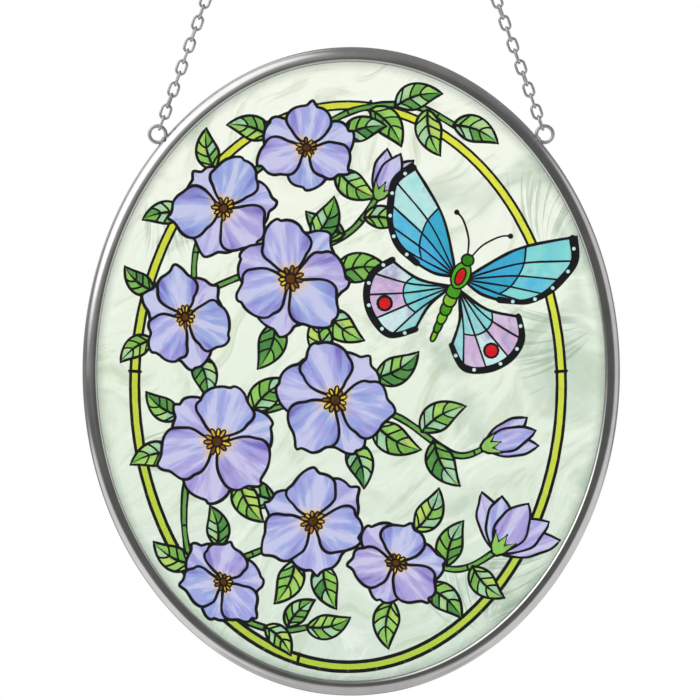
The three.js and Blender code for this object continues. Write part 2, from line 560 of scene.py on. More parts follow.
@dataclass(frozen=True)
class Feathering:
    """A patch of wet ground drawn out with a feather: curved strokes that fan out of a point.

    The point lies x to the right of the panel's middle and z above it, and the strokes reach out of it, in
    millimetres. The heading is in degrees from straight right, and the spread is half of the fan's angle. The
    strokes' two numbers say how closely they lie across the fan and how much they change along it.
    """

    x: float
    z: float
    heading: float
    reach: float
    spread: float
    strokes: tuple[float, float] = (13.0, 1.1)

    def amount(self, tree: NodeTree, place: NodeSocket) -> NodeSocket:
        """Works out the strokes' strength.

        Args:
            tree: The material's nodes.
            place: Coordinates from the panel's middle, in metres.

        Returns:
            The strength's socket.
        """
        here = add_node(
            tree, "ShaderNodeMapping", {"vector_type": "TEXTURE"},
            {
                "Location": (self.x * MM, 0.0, self.z * MM),
                "Rotation": (0.0, -math.radians(self.heading), 0.0),
                "Scale": (self.reach * MM, self.reach * MM, self.reach * MM),
            },
            {"Vector": place},
        ).outputs["Vector"]
        parts = add_node(tree, "ShaderNodeSeparateXYZ", links={"Vector": here})
        angle = add_node(
            tree, "ShaderNodeMath", {"operation": "ARCTAN2"},
            links={0: parts.outputs["Z"], 1: parts.outputs["X"]},
        )
        distance = add_node(tree, "ShaderNodeVectorMath", {"operation": "LENGTH"}, links={0: here})
        curl = add_node(
            tree, "ShaderNodeMath", {"operation": "MULTIPLY_ADD"}, {1: 0.5},
            {0: distance.outputs["Value"], 2: angle.outputs["Value"]},
        )
        polar = add_node(
            tree, "ShaderNodeCombineXYZ", links={"X": curl.outputs["Value"], "Y": distance.outputs["Value"]}
        )
        drawn = add_node(
            tree, "ShaderNodeMapping", values={"Scale": (*self.strokes, 1.0)},
            links={"Vector": polar.outputs["Vector"]},
        )
        stroke = add_node(
            tree, "ShaderNodeTexNoise", values={"Scale": 1.0, "Detail": 2.0, "Distortion": 0.5},
            links={"Vector": drawn.outputs["Vector"]},
        )
        turned = add_node(
            tree, "ShaderNodeMath", {"operation": "ABSOLUTE"}, links={0: angle.outputs["Value"]}
        )
        spread = math.radians(self.spread)
        masks = []
        for source, least, full in (
            (stroke.outputs["Fac"], 0.46, 0.64),
            (turned.outputs["Value"], spread, spread * 0.55),
            (distance.outputs["Value"], 1.0, 0.6),
            (distance.outputs["Value"], 0.12, 0.4),
        ):
            mask = add_node(
                tree, "ShaderNodeMapRange", {"interpolation_type": "SMOOTHSTEP"},
                values={"From Min": least, "From Max": full}, links={"Value": source},
            )
            masks.append(mask.outputs["Result"])
        amount = masks[0]
        for mask in masks[1:]:
            product = add_node(
                tree, "ShaderNodeMath", {"operation": "MULTIPLY"}, links={0: amount, 1: mask}
            )
            amount = product.outputs["Value"]
        return amount


@dataclass(frozen=True)
class GroundEnamel(Enamel):
    """The pale green ground: a milky wash stirred and feathered while wet, deeper low down, with painted
    shade at the rim.
    """

    pool_mm: float = 26.0
    height: tuple[tuple[float, str], ...] = ((0.0, "#dee9de"), (1.0, "#fbfbf2"), (0.5, "#eff5e8"))
    milk: str = "#fcfcf8"
    wisp: str = "#c9d3b8"
    cloud: str = "#b6c8b8"
    feather: str = "#8ea592"
    # Painted shade: the grey-green laid along the edge of the glass, standing in for the rim's shadow
    shade: str = "#8d9b8e"
    stir_mm: tuple[float, float] = (38.0, 22.0)
    drift_mm: float = 22.0
    wisp_mm: tuple[float, float] = (26.0, 4.5)
    wisp_turn: float = 40.0
    middle_m: tuple[float, float, float] = (0.0, 0.0, 0.0)
    half_m: tuple[float, float] = (0.08, 0.1)
    feathering: tuple[Feathering, ...] = (
        Feathering(70, -52, 222, 46, 40),
        Feathering(44, -84, 118, 30, 50),
        Feathering(80, 18, 205, 40, 38),
        Feathering(62, 34, 95, 34, 42),
        Feathering(-74, -30, 20, 26, 34),
        Feathering(-66, 58, 300, 30, 30),
    )

    def colour(self, tree: NodeTree, spot: Spot) -> NodeSocket:
        """Grades the wash down the panel, stirs and feathers it, and paints shade along its edge where the
        rim's shadow falls.

        Args:
            tree: The material's nodes.
            spot: What the colour can follow.

        Returns:
            The colour's socket.
        """
        from_middle = add_node(
            tree, "ShaderNodeMapping", values={"Location": tuple(-value for value in self.middle_m)},
            links={"Vector": spot.place},
        ).outputs["Vector"]
        unit = add_node(
            tree, "ShaderNodeMapping", values={"Scale": (1 / self.half_m[0], 0.0, 1 / self.half_m[1])},
            links={"Vector": from_middle},
        )
        parts = add_node(tree, "ShaderNodeSeparateXYZ", links={"Vector": unit.outputs["Vector"]})
        rise = add_node(
            tree, "ShaderNodeMapRange", values={"From Min": -0.9, "From Max": 0.9},
            links={"Value": parts.outputs["Z"]},
        )
        colour = add_node(
            tree, "ShaderNodeValToRGB", links={"Fac": rise.outputs["Result"]}, stops=self.height
        ).outputs["Color"]
        stirred = self._stirred(tree, from_middle)
        drift = add_node(
            tree, "ShaderNodeTexNoise", values={"Scale": 1 / (self.drift_mm * MM), "Detail": 3.0},
            links={"Vector": stirred},
        )
        rightward = add_node(
            tree, "ShaderNodeMath", {"operation": "MULTIPLY_ADD"}, {1: 0.09},
            {0: parts.outputs["X"], 2: drift.outputs["Fac"]},
        )
        colour = self._lay(tree, colour, self.cloud, rightward.outputs["Value"], (0.52, 0.78), 0.62)
        wisps = add_node(
            tree, "ShaderNodeMapping", {"vector_type": "TEXTURE"},
            {
                "Rotation": (0.0, -math.radians(self.wisp_turn), 0.0),
                "Scale": (self.wisp_mm[0] * MM, 1.0, self.wisp_mm[1] * MM),
            },
            {"Vector": stirred},
        )
        wisp = add_node(
            tree, "ShaderNodeTexNoise", values={"Scale": 1.0, "Detail": 4.0, "Roughness": 0.6},
            links={"Vector": wisps.outputs["Vector"]},
        )
        colour = self._lay(tree, colour, self.wisp, wisp.outputs["Fac"], (0.5, 0.7), 0.55)
        colour = self._lay(tree, colour, self.milk, wisp.outputs["Fac"], (0.47, 0.3), 0.55)
        for feathering in self.feathering:
            drawn = feathering.amount(tree, from_middle)
            colour = self._lay(tree, colour, self.feather, drawn, (0.0, 0.9), 0.42)
        # Painted shade: the ground darkens over its last few millimetres inside the rim, standing in for the
        # rim's shadow
        reach = add_node(
            tree, "ShaderNodeVectorMath", {"operation": "LENGTH"}, links={0: unit.outputs["Vector"]}
        )
        return self._lay(tree, colour, self.shade, reach.outputs["Value"], (0.96, 1.01), 0.5)

    def _stirred(self, tree: NodeTree, place: NodeSocket) -> NodeSocket:
        """Carries coordinates round in slow eddies, as a wet wash is when it is stirred.

        Args:
            tree: The material's nodes.
            place: The coordinates, in metres.

        Returns:
            The stirred coordinates' socket.
        """
        eddy = add_node(
            tree, "ShaderNodeTexNoise", values={"Scale": 1 / (self.stir_mm[0] * MM), "Detail": 1.0},
            links={"Vector": place},
        )
        offset = add_node(
            tree, "ShaderNodeVectorMath", {"operation": "SUBTRACT"}, {1: (0.5, 0.5, 0.5)},
            {0: eddy.outputs["Color"]},
        )
        swing = 2 * self.stir_mm[1] * MM
        moved = add_node(
            tree, "ShaderNodeVectorMath", {"operation": "MULTIPLY_ADD"}, {1: (swing, swing, swing)},
            {0: offset.outputs["Vector"], 2: place},
        )
        return moved.outputs["Vector"]


@dataclass(frozen=True)
class PaintedFloor(Finish):
    """Matt white paint on board: pale, with only a trace of roller texture."""

    roller_mm: float = 2.5

    def dress(self, tree: NodeTree, shader: Node) -> None:
        """Adds the trace of roller texture.

        Args:
            tree: The material's nodes.
            shader: Its shader.
        """
        place = add_node(tree, "ShaderNodeTexCoord")
        roller = add_node(
            tree, "ShaderNodeTexNoise", values={"Scale": 1 / (self.roller_mm * MM)},
            links={"Vector": place.outputs["Object"]},
        )
        tint = add_node(
            tree, "ShaderNodeValToRGB", links={"Fac": roller.outputs["Fac"]},
            stops=((0.3, "#d8d8d6"), (0.7, "#dcdcda")),
        )
        tree.links.new(tint.outputs["Color"], shader.inputs["Base Color"])


class Glaze(Enum):
    """What a spot of the pane is painted with."""

    GROUND = 0
    STRIPE = 1
    PETAL = 2
    LEAF = 3
    WING = 4
    BODY = 5
    RUBY = 6
    POLLEN = 7
    BLACK = 8


class Taper(Enum):
    """Where a black line thins out."""

    NONE = 0
    END = 1


# Drawing on the flat


def smooth_path(knots: Sequence[Vector], closed: bool = False, step: float = 1.0) -> list[Vector]:
    """Runs a smooth curve through a few points.

    Args:
        knots: The points, in millimetres.
        closed: Whether the curve runs on from the last point to the first.
        step: Longest chord, in millimetres.

    Returns:
        Points along the curve.
    """
    count = len(knots)
    path = []
    for span in range(count if closed else count - 1):
        picks = [span - 1, span, span + 1, span + 2]
        if closed:
            before, start, end, after = (knots[pick % count] for pick in picks)
        else:
            before, start, end, after = (knots[min(max(pick, 0), count - 1)] for pick in picks)
        pieces = max(2, math.ceil((end - start).length / step))
        for piece in range(pieces):
            t = piece / pieces
            point = 2 * start + (end - before) * t
            point += (2 * before - 5 * start + 4 * end - after) * t**2
            point += (3 * start - before - 3 * end + after) * t**3
            path.append(point / 2)
    if not closed:
        path.append(knots[-1].copy())
    return path


def heading(degrees: float, length: float = 1.0) -> Vector:
    """Returns a flat vector of a length at an angle from the x axis."""
    turn = math.radians(degrees)
    return Vector((math.cos(turn), math.sin(turn))) * length


def dot(middle: Vector, radius: float, sides: int = 8) -> list[Vector]:
    """Returns the outline of a round dot, drawn with a few sides."""
    return [middle + heading(360 / sides * side, radius) for side in range(sides)]


def signed_area(outline: Sequence[Vector]) -> float:
    """Returns the area inside an outline, negative where it runs clockwise."""
    return sum(outline[number - 1].cross(point) for number, point in enumerate(outline)) / 2


@dataclass(frozen=True)
class Placement:
    """Where a motif lies: its middle, its turn and size, and the way in which it leans back.

    The turn and the lean are in degrees, and the squash is the share of its length that it keeps that way.
    """

    middle: Vector
    turn: float = 0.0
    size: float = 1.0
    lean: float = 0.0
    squash: float = 1.0

    def at(self, x: float, y: float) -> Vector:
        """Returns a point of the motif on the panel."""
        point = Matrix.Rotation(math.radians(self.turn), 2) @ Vector((x, y)) * self.size
        away = heading(self.lean)
        return self.middle + point - away * point.dot(away) * (1 - self.squash)


@dataclass(frozen=True)
class CellChart:
    """A cell's own map: where u and v are zero, and the vectors along which each runs from 0 to 1."""

    origin: Vector
    along: Vector
    across: Vector

    def chart(self, point: Vector) -> tuple[float, float]:
        """Returns u and v at a point of the panel."""
        offset = point - self.origin
        area = self.along.cross(self.across)
        return offset.cross(self.across) / area, self.along.cross(offset) / area


PANEL_CHART = CellChart(Vector((0, 0)), Vector((100, 0)), Vector((0, 100)))


@dataclass
class Patch:
    """One thing painted in one go: its polygons, its glaze, its map and its tone."""

    polygons: list[list[Vector]]
    glaze: Glaze
    chart: CellChart
    tone: float


@dataclass
class Picture:
    """Everything painted on the pane, from back to front.

    A line's width sways by a share of itself, a tapered one keeps a share of it at its tip, and a corner
    sharper than a turn in radians gets a round dot.
    """

    patches: list[Patch] = field(default_factory=list)
    outline_mm: float = 0.95
    sway: float = 0.26
    sway_per_mm: float = 0.16
    tip: float = 0.15
    taper: float = 1.6
    sharp_turn: float = 0.6

    def fill(
        self, outline: list[Vector], glaze: Glaze, chart: CellChart = PANEL_CHART, tone: float = 0.5
    ) -> None:
        """Floods one cell."""
        self.patches.append(Patch([outline], glaze, chart, tone))

    def band(self, path: list[Vector], width: float, glaze: Glaze, tone: float) -> None:
        """Floods a strip of one width along an open path."""
        quads = self._strip(path, [width] * len(path), False)
        self.patches.append(Patch(quads, glaze, PANEL_CHART, tone))

    def line(
        self, path: list[Vector], width: float | None = None, taper: Taper = Taper.NONE, closed: bool = False
    ) -> None:
        """Draws a black line whose width sways a little, as a hand does.

        Args:
            path: The line's middle.
            width: Its width in millimetres, or None for an outline's.
            taper: Where it thins out.
            closed: Whether it runs on from its end to its start.
        """
        base = width or self.outline_mm
        last = len(path) - 1
        widths = []
        for number, point in enumerate(path):
            place = Vector((point.x * self.sway_per_mm, point.y * self.sway_per_mm, base))
            share = 1.0 + self.sway * noise.noise(place)
            if taper is Taper.END:
                share *= min(1.0, self.tip + self.taper * (1 - number / last))
            widths.append(base * share)
        polygons = self._strip(path, widths, closed)
        polygons += self._corners(path, widths, closed)
        self.patches.append(Patch(polygons, Glaze.BLACK, PANEL_CHART, 0.0))

    def cell(
        self, outline: list[Vector], glaze: Glaze, chart: CellChart, tone: float, width: float | None = None
    ) -> None:
        """Floods a cell and draws its outline."""
        self.fill(outline, glaze, chart, tone)
        self.line(outline, width, closed=True)

    @staticmethod
    def _strip(path: list[Vector], widths: list[float], closed: bool) -> list[list[Vector]]:
        """Cuts a strip along a path into pieces, four-sided where it bends gently.

        Args:
            path: The strip's middle.
            widths: Its width at each point.
            closed: Whether it runs on from its end to its start.

        Returns:
            The outline of each piece.
        """
        count = len(path)
        sides = []
        for number, point in enumerate(path):
            if closed:
                run = path[(number + 1) % count] - path[number - 1]
            else:
                run = path[min(number + 1, count - 1)] - path[max(number - 1, 0)]
            out = Vector((-run.y, run.x)).normalized() * widths[number] / 2
            sides.append((point + out, point - out))
        pieces = []
        for number in range(count if closed else count - 1):
            here, there = sides[number], sides[(number + 1) % count]
            quad = [here[0], here[1], there[1], there[0]]
            turns = [(quad[k] - quad[k - 1]).cross(quad[(k + 1) % 4] - quad[k]) for k in range(4)]
            pieces += [quad] if min(turns) > SLIVER_MM2 else [quad[:3], [quad[0], *quad[2:]]]
        return [piece for piece in pieces if abs(signed_area(piece)) > SLIVER_MM2]

    def _corners(self, path: list[Vector], widths: list[float], closed: bool) -> list[list[Vector]]:
        """Rounds off each end and each sharp corner of a line.

        Args:
            path: The line's middle.
            widths: Its width at each point.
            closed: Whether it runs on from its end to its start.

        Returns:
            The outline of each round dot.
        """
        count = len(path)
        dots = []
        for number, point in enumerate(path):
            if not closed and number in (0, count - 1):
                sharp = True
            else:
                entering = point - path[number - 1]
                leaving = path[(number + 1) % count] - point
                moving = entering.length > 0 and leaving.length > 0
                sharp = moving and abs(entering.angle_signed(leaving)) > self.sharp_turn
            if sharp:
                dots.append(dot(point, widths[number] / 2))
        return dots

    def partition(
        self, keep: Callable[[Patch], bool]
    ) -> tuple[list[Vector], list[tuple[Patch, Sequence[int]]]]:
        """Cuts the overlapping patches into triangles that each show the top patch, within the first patch.

        Args:
            keep: Says which patches take part.

        Returns:
            The corners, and for each triangle its patch and the numbers of its corners.
        """
        corners = []
        polygons = []
        layers = []
        for height, patch in enumerate(self.patches):
            for polygon in patch.polygons if keep(patch) else ():
                wound = polygon if signed_area(polygon) > 0 else polygon[::-1]
                polygons.append(list(range(len(corners), len(corners) + len(wound))))
                corners.extend(wound)
                xs = [point.x for point in wound]
                ys = [point.y for point in wound]
                layers.append((height, min(xs), max(xs), min(ys), max(ys)))
        inside_only = 1
        merge_mm = 1e-5
        points, _, triangles, _, _, stacks = delaunay_2d_cdt(
            corners, [], polygons, inside_only, merge_mm, True
        )
        pieces = []
        for triangle, stack in zip(triangles, stacks):
            spot = sum((points[corner] for corner in triangle), Vector((0, 0))) / 3
            over = [
                height
                for height, left, right, low, high in (layers[layer] for layer in stack)
                if left < spot.x < right and low < spot.y < high
            ]
            if 0 in over:
                pieces.append((self.patches[max(over)], triangle))
        return points, pieces


# Motifs


@dataclass
class Leaf:
    """A pointed leaf in two halves, each cut into cells by side veins.

    Places and breadths are shares of its length, and what ends in mm is in millimetres.
    """

    base: tuple[float, float]
    heading: float
    length: float
    seed: int
    tone: float = 0.5
    bend: float = 0.1
    breadth: float = 0.27
    veins: int = 3
    first_vein: float = 0.1
    veined: float = 0.66
    vein_rise: float = 0.2
    last_tip: float = 0.93
    vein_curve: float = 1.2
    vein_steps: int = 5
    vein_mm: float = 0.62
    line_mm: float = 0.85

    def spot(self, t: float, h: float) -> Vector:
        """Finds a point of the leaf.

        Args:
            t: Its share of the leaf's length.
            h: Its share of the half breadth there, negative on the far side.

        Returns:
            The point, in millimetres.
        """
        fullest, bluntness = 0.76, 0.95
        spine = Vector((t, self.bend * 4 * t * (1 - t)))
        run = Vector((1, self.bend * 4 * (1 - 2 * t))).normalized()
        half = self.breadth * math.sin(math.pi * t**fullest) ** bluntness if 0 < t < 1 else 0.0
        place = Placement(Vector(self.base), self.heading, self.length)
        return place.at(*(spine + Vector((-run.y, run.x)) * half * h))

    def draw(self, picture: Picture) -> None:
        """Paints the cells, then the veins, the margin and the midrib.

        Args:
            picture: What it is painted in.
        """
        pick = random.Random(self.seed)
        starts = [self.first_vein + self.veined * number / self.veins for number in range(self.veins)]
        ends = [min(self.last_tip, start + self.vein_rise) for start in starts]
        roots, tips = [0.0, *starts, 1.0], [0.0, *ends, 1.0]
        veins = []
        for side in (1, -1):
            for number in range(len(roots) - 1):
                outline = self._cell(side, roots[number:number + 2], tips[number:number + 2])
                root = self.spot((roots[number] + roots[number + 1]) / 2, 0)
                rim = self.spot((tips[number] + tips[number + 1]) / 2, side)
                chart = CellChart(root, rim - root, self.spot(1, 0) - self.spot(0, 0))
                picture.fill(outline, Glaze.LEAF, chart, self._tone(side, pick))
            veins += [self._vein(root, tip, side) for root, tip in zip(starts, ends)]
        for vein in veins:
            picture.line(vein, self.vein_mm)
        steps, midrib_steps, midrib = 16, 8, 0.94
        margin = [self.spot(step / steps, 1) for step in range(steps)]
        margin += [self.spot(1 - step / steps, -1) for step in range(steps)]
        picture.line(margin, self.line_mm, closed=True)
        spine = [self.spot(midrib * step / midrib_steps, 0) for step in range(midrib_steps + 1)]
        picture.line(spine, self.line_mm, Taper.END)

    def _tone(self, side: int, pick: random.Random) -> float:
        """Chooses a cell's tone: one half is lighter than the other, and now and then a cell is milky.

        Args:
            side: 1 or -1, the half it lies in.
            pick: The leaf's source of small differences.

        Returns:
            The tone.
        """
        lighter, darker, spread, darkest, lightest, milky = 0.14, -0.16, 0.18, 0.0, 0.85, 1.0
        milky_share = 0.25
        tone = self.tone + (lighter if side > 0 else darker) + pick.uniform(-spread, spread)
        return milky if pick.random() < milky_share else min(max(tone, darkest), lightest)

    def _vein(self, root: float, tip: float, side: int) -> list[Vector]:
        """Returns a side vein from the midrib at its root to the margin at its tip."""
        steps, curve = self.vein_steps, self.vein_curve
        return [
            self.spot(root + (tip - root) * (step / steps) ** curve, side * step / steps)
            for step in range(steps + 1)
        ]

    def _cell(self, side: int, roots: Sequence[float], tips: Sequence[float]) -> list[Vector]:
        """Outlines the cell between two veins.

        Args:
            side: 1 or -1, the half it lies in.
            roots: Where the two veins leave the midrib.
            tips: Where they meet the margin.

        Returns:
            The outline.
        """
        steps = self.vein_steps
        outline = [self.spot(roots[0] + (roots[1] - roots[0]) * step / steps, 0) for step in range(steps)]
        if tips[1] < 1:
            outline += self._vein(roots[1], tips[1], side)[:-1]
        outline += [self.spot(tips[1] + (tips[0] - tips[1]) * step / steps, side) for step in range(steps)]
        if tips[0] > 0:
            outline += self._vein(roots[0], tips[0], side)[:0:-1]
        return outline


@dataclass
class Blossom:
    """An open clematis flower: ruffled petals in two ranks round a boss of stamens.

    Its angles are in degrees, and the sizes after the wobble are shares of its radius.
    """

    middle: tuple[float, float]
    radius: float
    seed: int
    petals: int = 6
    turn: float = 0.0
    lean: float = 90.0
    squash: float = 1.0
    wobble: float = 4.0
    petal_reach: tuple[float, float] = (0.9, 1.04)
    petal_breadth: tuple[float, float] = (0.4, 0.46)
    petal_bow: float = 0.07
    lobes: tuple[float, float] = (5.2, 6.4)
    ruffle: float = 0.075
    stamens: int = 11
    boss: tuple[float, float] = (0.06, 0.21)
    button: float = 0.085

    def leaf(self, angle: float, length: float, seed: int, tone: float) -> Leaf:
        """Returns a leaf that looks out from behind the flower at an angle."""
        behind = 0.72
        base = Vector(self.middle) + heading(angle, behind * self.radius)
        return Leaf(tuple(base), angle, length, seed, tone, Leaf.bend if seed % 2 else -Leaf.bend)

    def draw(self, picture: Picture) -> None:
        """Paints the back rank of petals, the front rank, then the stamens.

        Args:
            picture: What it is painted in.
        """
        pick = random.Random(self.seed)
        place = Placement(Vector(self.middle), self.turn, 1.0, self.lean, self.squash)
        for rank in (0, 1):
            for number in range(rank, self.petals, 2):
                angle = 360 * number / self.petals + pick.uniform(-self.wobble, self.wobble)
                self._petal(picture, place, angle, pick)
        self._boss(picture, place, pick)

    def _petal(self, picture: Picture, place: Placement, angle: float, pick: random.Random) -> None:
        """Paints one petal.

        Args:
            picture: What it is painted in.
            place: The flower's placement.
            angle: The way its axis leaves the middle.
            pick: The flower's source of small differences.
        """
        usual_petals = 6
        reach = self.radius * pick.uniform(*self.petal_reach)
        breadth = self.radius * pick.uniform(*self.petal_breadth) * (usual_petals / self.petals) ** 0.5
        bow = reach * pick.uniform(-self.petal_bow, self.petal_bow)
        phase = pick.uniform(0, math.tau)
        swing = Matrix.Rotation(math.radians(angle), 2)

        def spot(t: float, h: float) -> Vector:
            """Returns the point at a share of the petal's length and of its half breadth."""
            return place.at(*(swing @ Vector((reach * t, breadth * h + bow * math.sin(math.pi * t)))))

        steps, fullest, bluntness = 14, 1.15, 0.74
        start, run, tip, foot = 0.08, 0.86, 0.04, 0.1
        sides = []
        for side in (1, -1):
            rim = []
            for step in range(steps + 1):
                t = 0.5 - 0.5 * math.cos(math.pi * step / steps)
                swell = math.sin(math.pi * t**fullest) ** bluntness
                rim.append(spot(start + run * t + tip * t**4, side * (swell + foot * (1 - t))))
            sides.append(rim)
        margin = self._ruffled(sides[0] + sides[1][-2::-1], pick.uniform(*self.lobes), phase)
        outline = smooth_path(margin, step=0.9)
        chart = CellChart(spot(0, 0), spot(1, 0) - spot(0, 0), spot(0.5, 1) - spot(0.5, 0))
        picture.cell(outline, Glaze.PETAL, chart, pick.uniform(0.1, 0.9))

    def _ruffled(self, outline: list[Vector], lobes: float, phase: float) -> list[Vector]:
        """Waves a petal's margin in and out: broad lobes with narrower notches, none at the base.

        Args:
            outline: The margin, from the base round the tip and back.
            lobes: How many lobes it gets.
            phase: Where the first one starts, in radians.

        Returns:
            The waved margin.
        """
        unevenness, notch, fade = 0.03, 0.6, 1.4
        count = len(outline)
        waved = []
        for number, point in enumerate(outline):
            share = number / (count - 1)
            run = outline[(number + 1) % count] - outline[number - 1]
            out = Vector((run.y, -run.x)).normalized() if run.length > 0 else Vector((0, 0))
            uneven = share + unevenness * math.sin(math.tau * 2 * share + phase)
            wave = abs(math.sin(math.pi * lobes * uneven + phase)) - notch
            waved.append(point - out * wave * self.ruffle * self.radius * math.sin(math.pi * share) ** fade)
        return waved

    def _boss(self, picture: Picture, place: Placement, pick: random.Random) -> None:
        """Paints a ring of stamens round a dark button.

        Args:
            picture: What they are painted in.
            place: The flower's placement.
            pick: The flower's source of small differences.
        """
        inner, outer = self.radius * self.boss[0], self.radius * self.boss[1]
        fill, spread, sides, tones, line_mm = 0.62, 0.15, 10, (0.35, 0.6, 0.8, 0.95), 0.5
        half = math.tan(math.pi / self.stamens) * outer * fill
        for number in range(self.stamens):
            swing = Matrix.Rotation(math.tau * (number + pick.uniform(-spread, spread)) / self.stamens, 2)
            reach = outer * pick.uniform(0.85, 1.12)
            drop = []
            for side in range(sides):
                turn = math.tau * side / sides
                x = inner + (reach - inner) * (0.5 - 0.5 * math.cos(turn))
                y = half * math.sin(turn) * (0.55 + 0.45 * (x / reach))
                drop.append(place.at(*(swing @ Vector((x, y)))))
            chart = CellChart(place.middle, drop[sides // 2] - place.middle, Vector((-1, 1)))
            picture.cell(drop, Glaze.POLLEN, chart, pick.choice(tones), line_mm)
        button = [place.at(*point) for point in dot(Vector((0, 0)), self.radius * self.button, sides)]
        dark, button_line_mm = 0.05, 0.6
        picture.cell(button, Glaze.POLLEN, PANEL_CHART, dark, button_line_mm)


@dataclass
class Stem:
    """A green stem between two black lines, jointed here and there, in millimetres."""

    knots: tuple[tuple[float, float], ...]
    width: float = 1.0
    lines: float = 1.4
    joint_every: float = 14.0
    joint_line: float = 0.6
    tone: float = 0.35

    def draw(self, picture: Picture) -> None:
        """Paints the stem and its joints.

        Args:
            picture: What it is painted in.
        """
        path = smooth_path([Vector(knot) for knot in self.knots])
        picture.line(path, self.width + self.lines)
        picture.band(path, self.width, Glaze.LEAF, self.tone)
        travelled = 0.0
        for before, here in zip(path, path[1:]):
            travelled += (here - before).length
            if travelled > self.joint_every:
                travelled = 0.0
                across = Vector((before.y - here.y, here.x - before.x)).normalized() * self.width / 2
                picture.line([here - across, here + across], self.joint_line)


@dataclass
class Bell:
    """A flower seen from the side: petals that fan out of a green cup, or lie furled in it as a bud.

    Its angles are in degrees, and its breadth and cup are shares of its length.
    """

    base: tuple[float, float]
    heading: float
    length: float
    seed: int
    fan: tuple[float, ...] = (16, -16, 0)
    breadth: float = 0.2

    CUP = ((-0.02, 0.045), (0.08, 0.13), (0.32, 0.2), (0.2, 0.06), (0.36, 0.0))

    def draw(self, picture: Picture) -> None:
        """Paints the petals from the outermost in, then the cup.

        Args:
            picture: What it is painted in.
        """
        pick = random.Random(self.seed)
        place = Placement(Vector(self.base), self.heading, self.length)
        for swing in self.fan:
            self._petal(picture, place, swing, pick)
        cup = [place.at(x, y) for x, y in self.CUP] + [place.at(x, -y) for x, y in self.CUP[-2::-1]]
        tone, line_mm = 0.6, 0.75
        picture.cell(cup, Glaze.LEAF, PANEL_CHART, tone, line_mm)

    def _petal(self, picture: Picture, place: Placement, swing: float, pick: random.Random) -> None:
        """Paints one petal that leaves the cup straight and bends away from its axis.

        Args:
            picture: What it is painted in.
            place: The flower's placement.
            swing: How far its tip turns from the flower's axis.
            pick: The flower's source of small differences.
        """
        turned_share, curled_share = 0.55, 0.45
        turned = Matrix.Rotation(math.radians(swing * turned_share), 2)
        reach = pick.uniform(0.92, 1.04)
        phase = pick.uniform(0, math.tau)

        def spot(t: float, h: float) -> Vector:
            """Returns the point at a share of the petal's length and of its half breadth."""
            curl = math.radians(swing) * curled_share * t * t
            return place.at(*(turned @ Vector((reach * t, self.breadth * h + curl))))

        steps, bluntness, ripple, ripples = 16, 0.75, 0.1, 12
        start, run, tip, foot, behind = 0.06, 0.9, 0.04, 0.14, 0.25
        sides = []
        for side in (1, -1):
            rim = []
            for step in range(steps + 1):
                t = step / steps
                swell = math.sin(math.pi * t) ** bluntness
                swell *= 1 + ripple * t * math.sin(ripples * t + phase + side)
                rim.append(spot(start + run * t + tip * t**8, side * (swell + foot * (1 - t))))
            sides.append(rim)
        outline = sides[0] + sides[1][-2::-1]
        root = spot(-behind, 0)
        chart = CellChart(root, spot(1, 0) - root, spot(0.5, 1) - spot(0.5, 0))
        line_mm = 0.85
        picture.cell(outline, Glaze.PETAL, chart, pick.uniform(0.1, 0.9), line_mm)


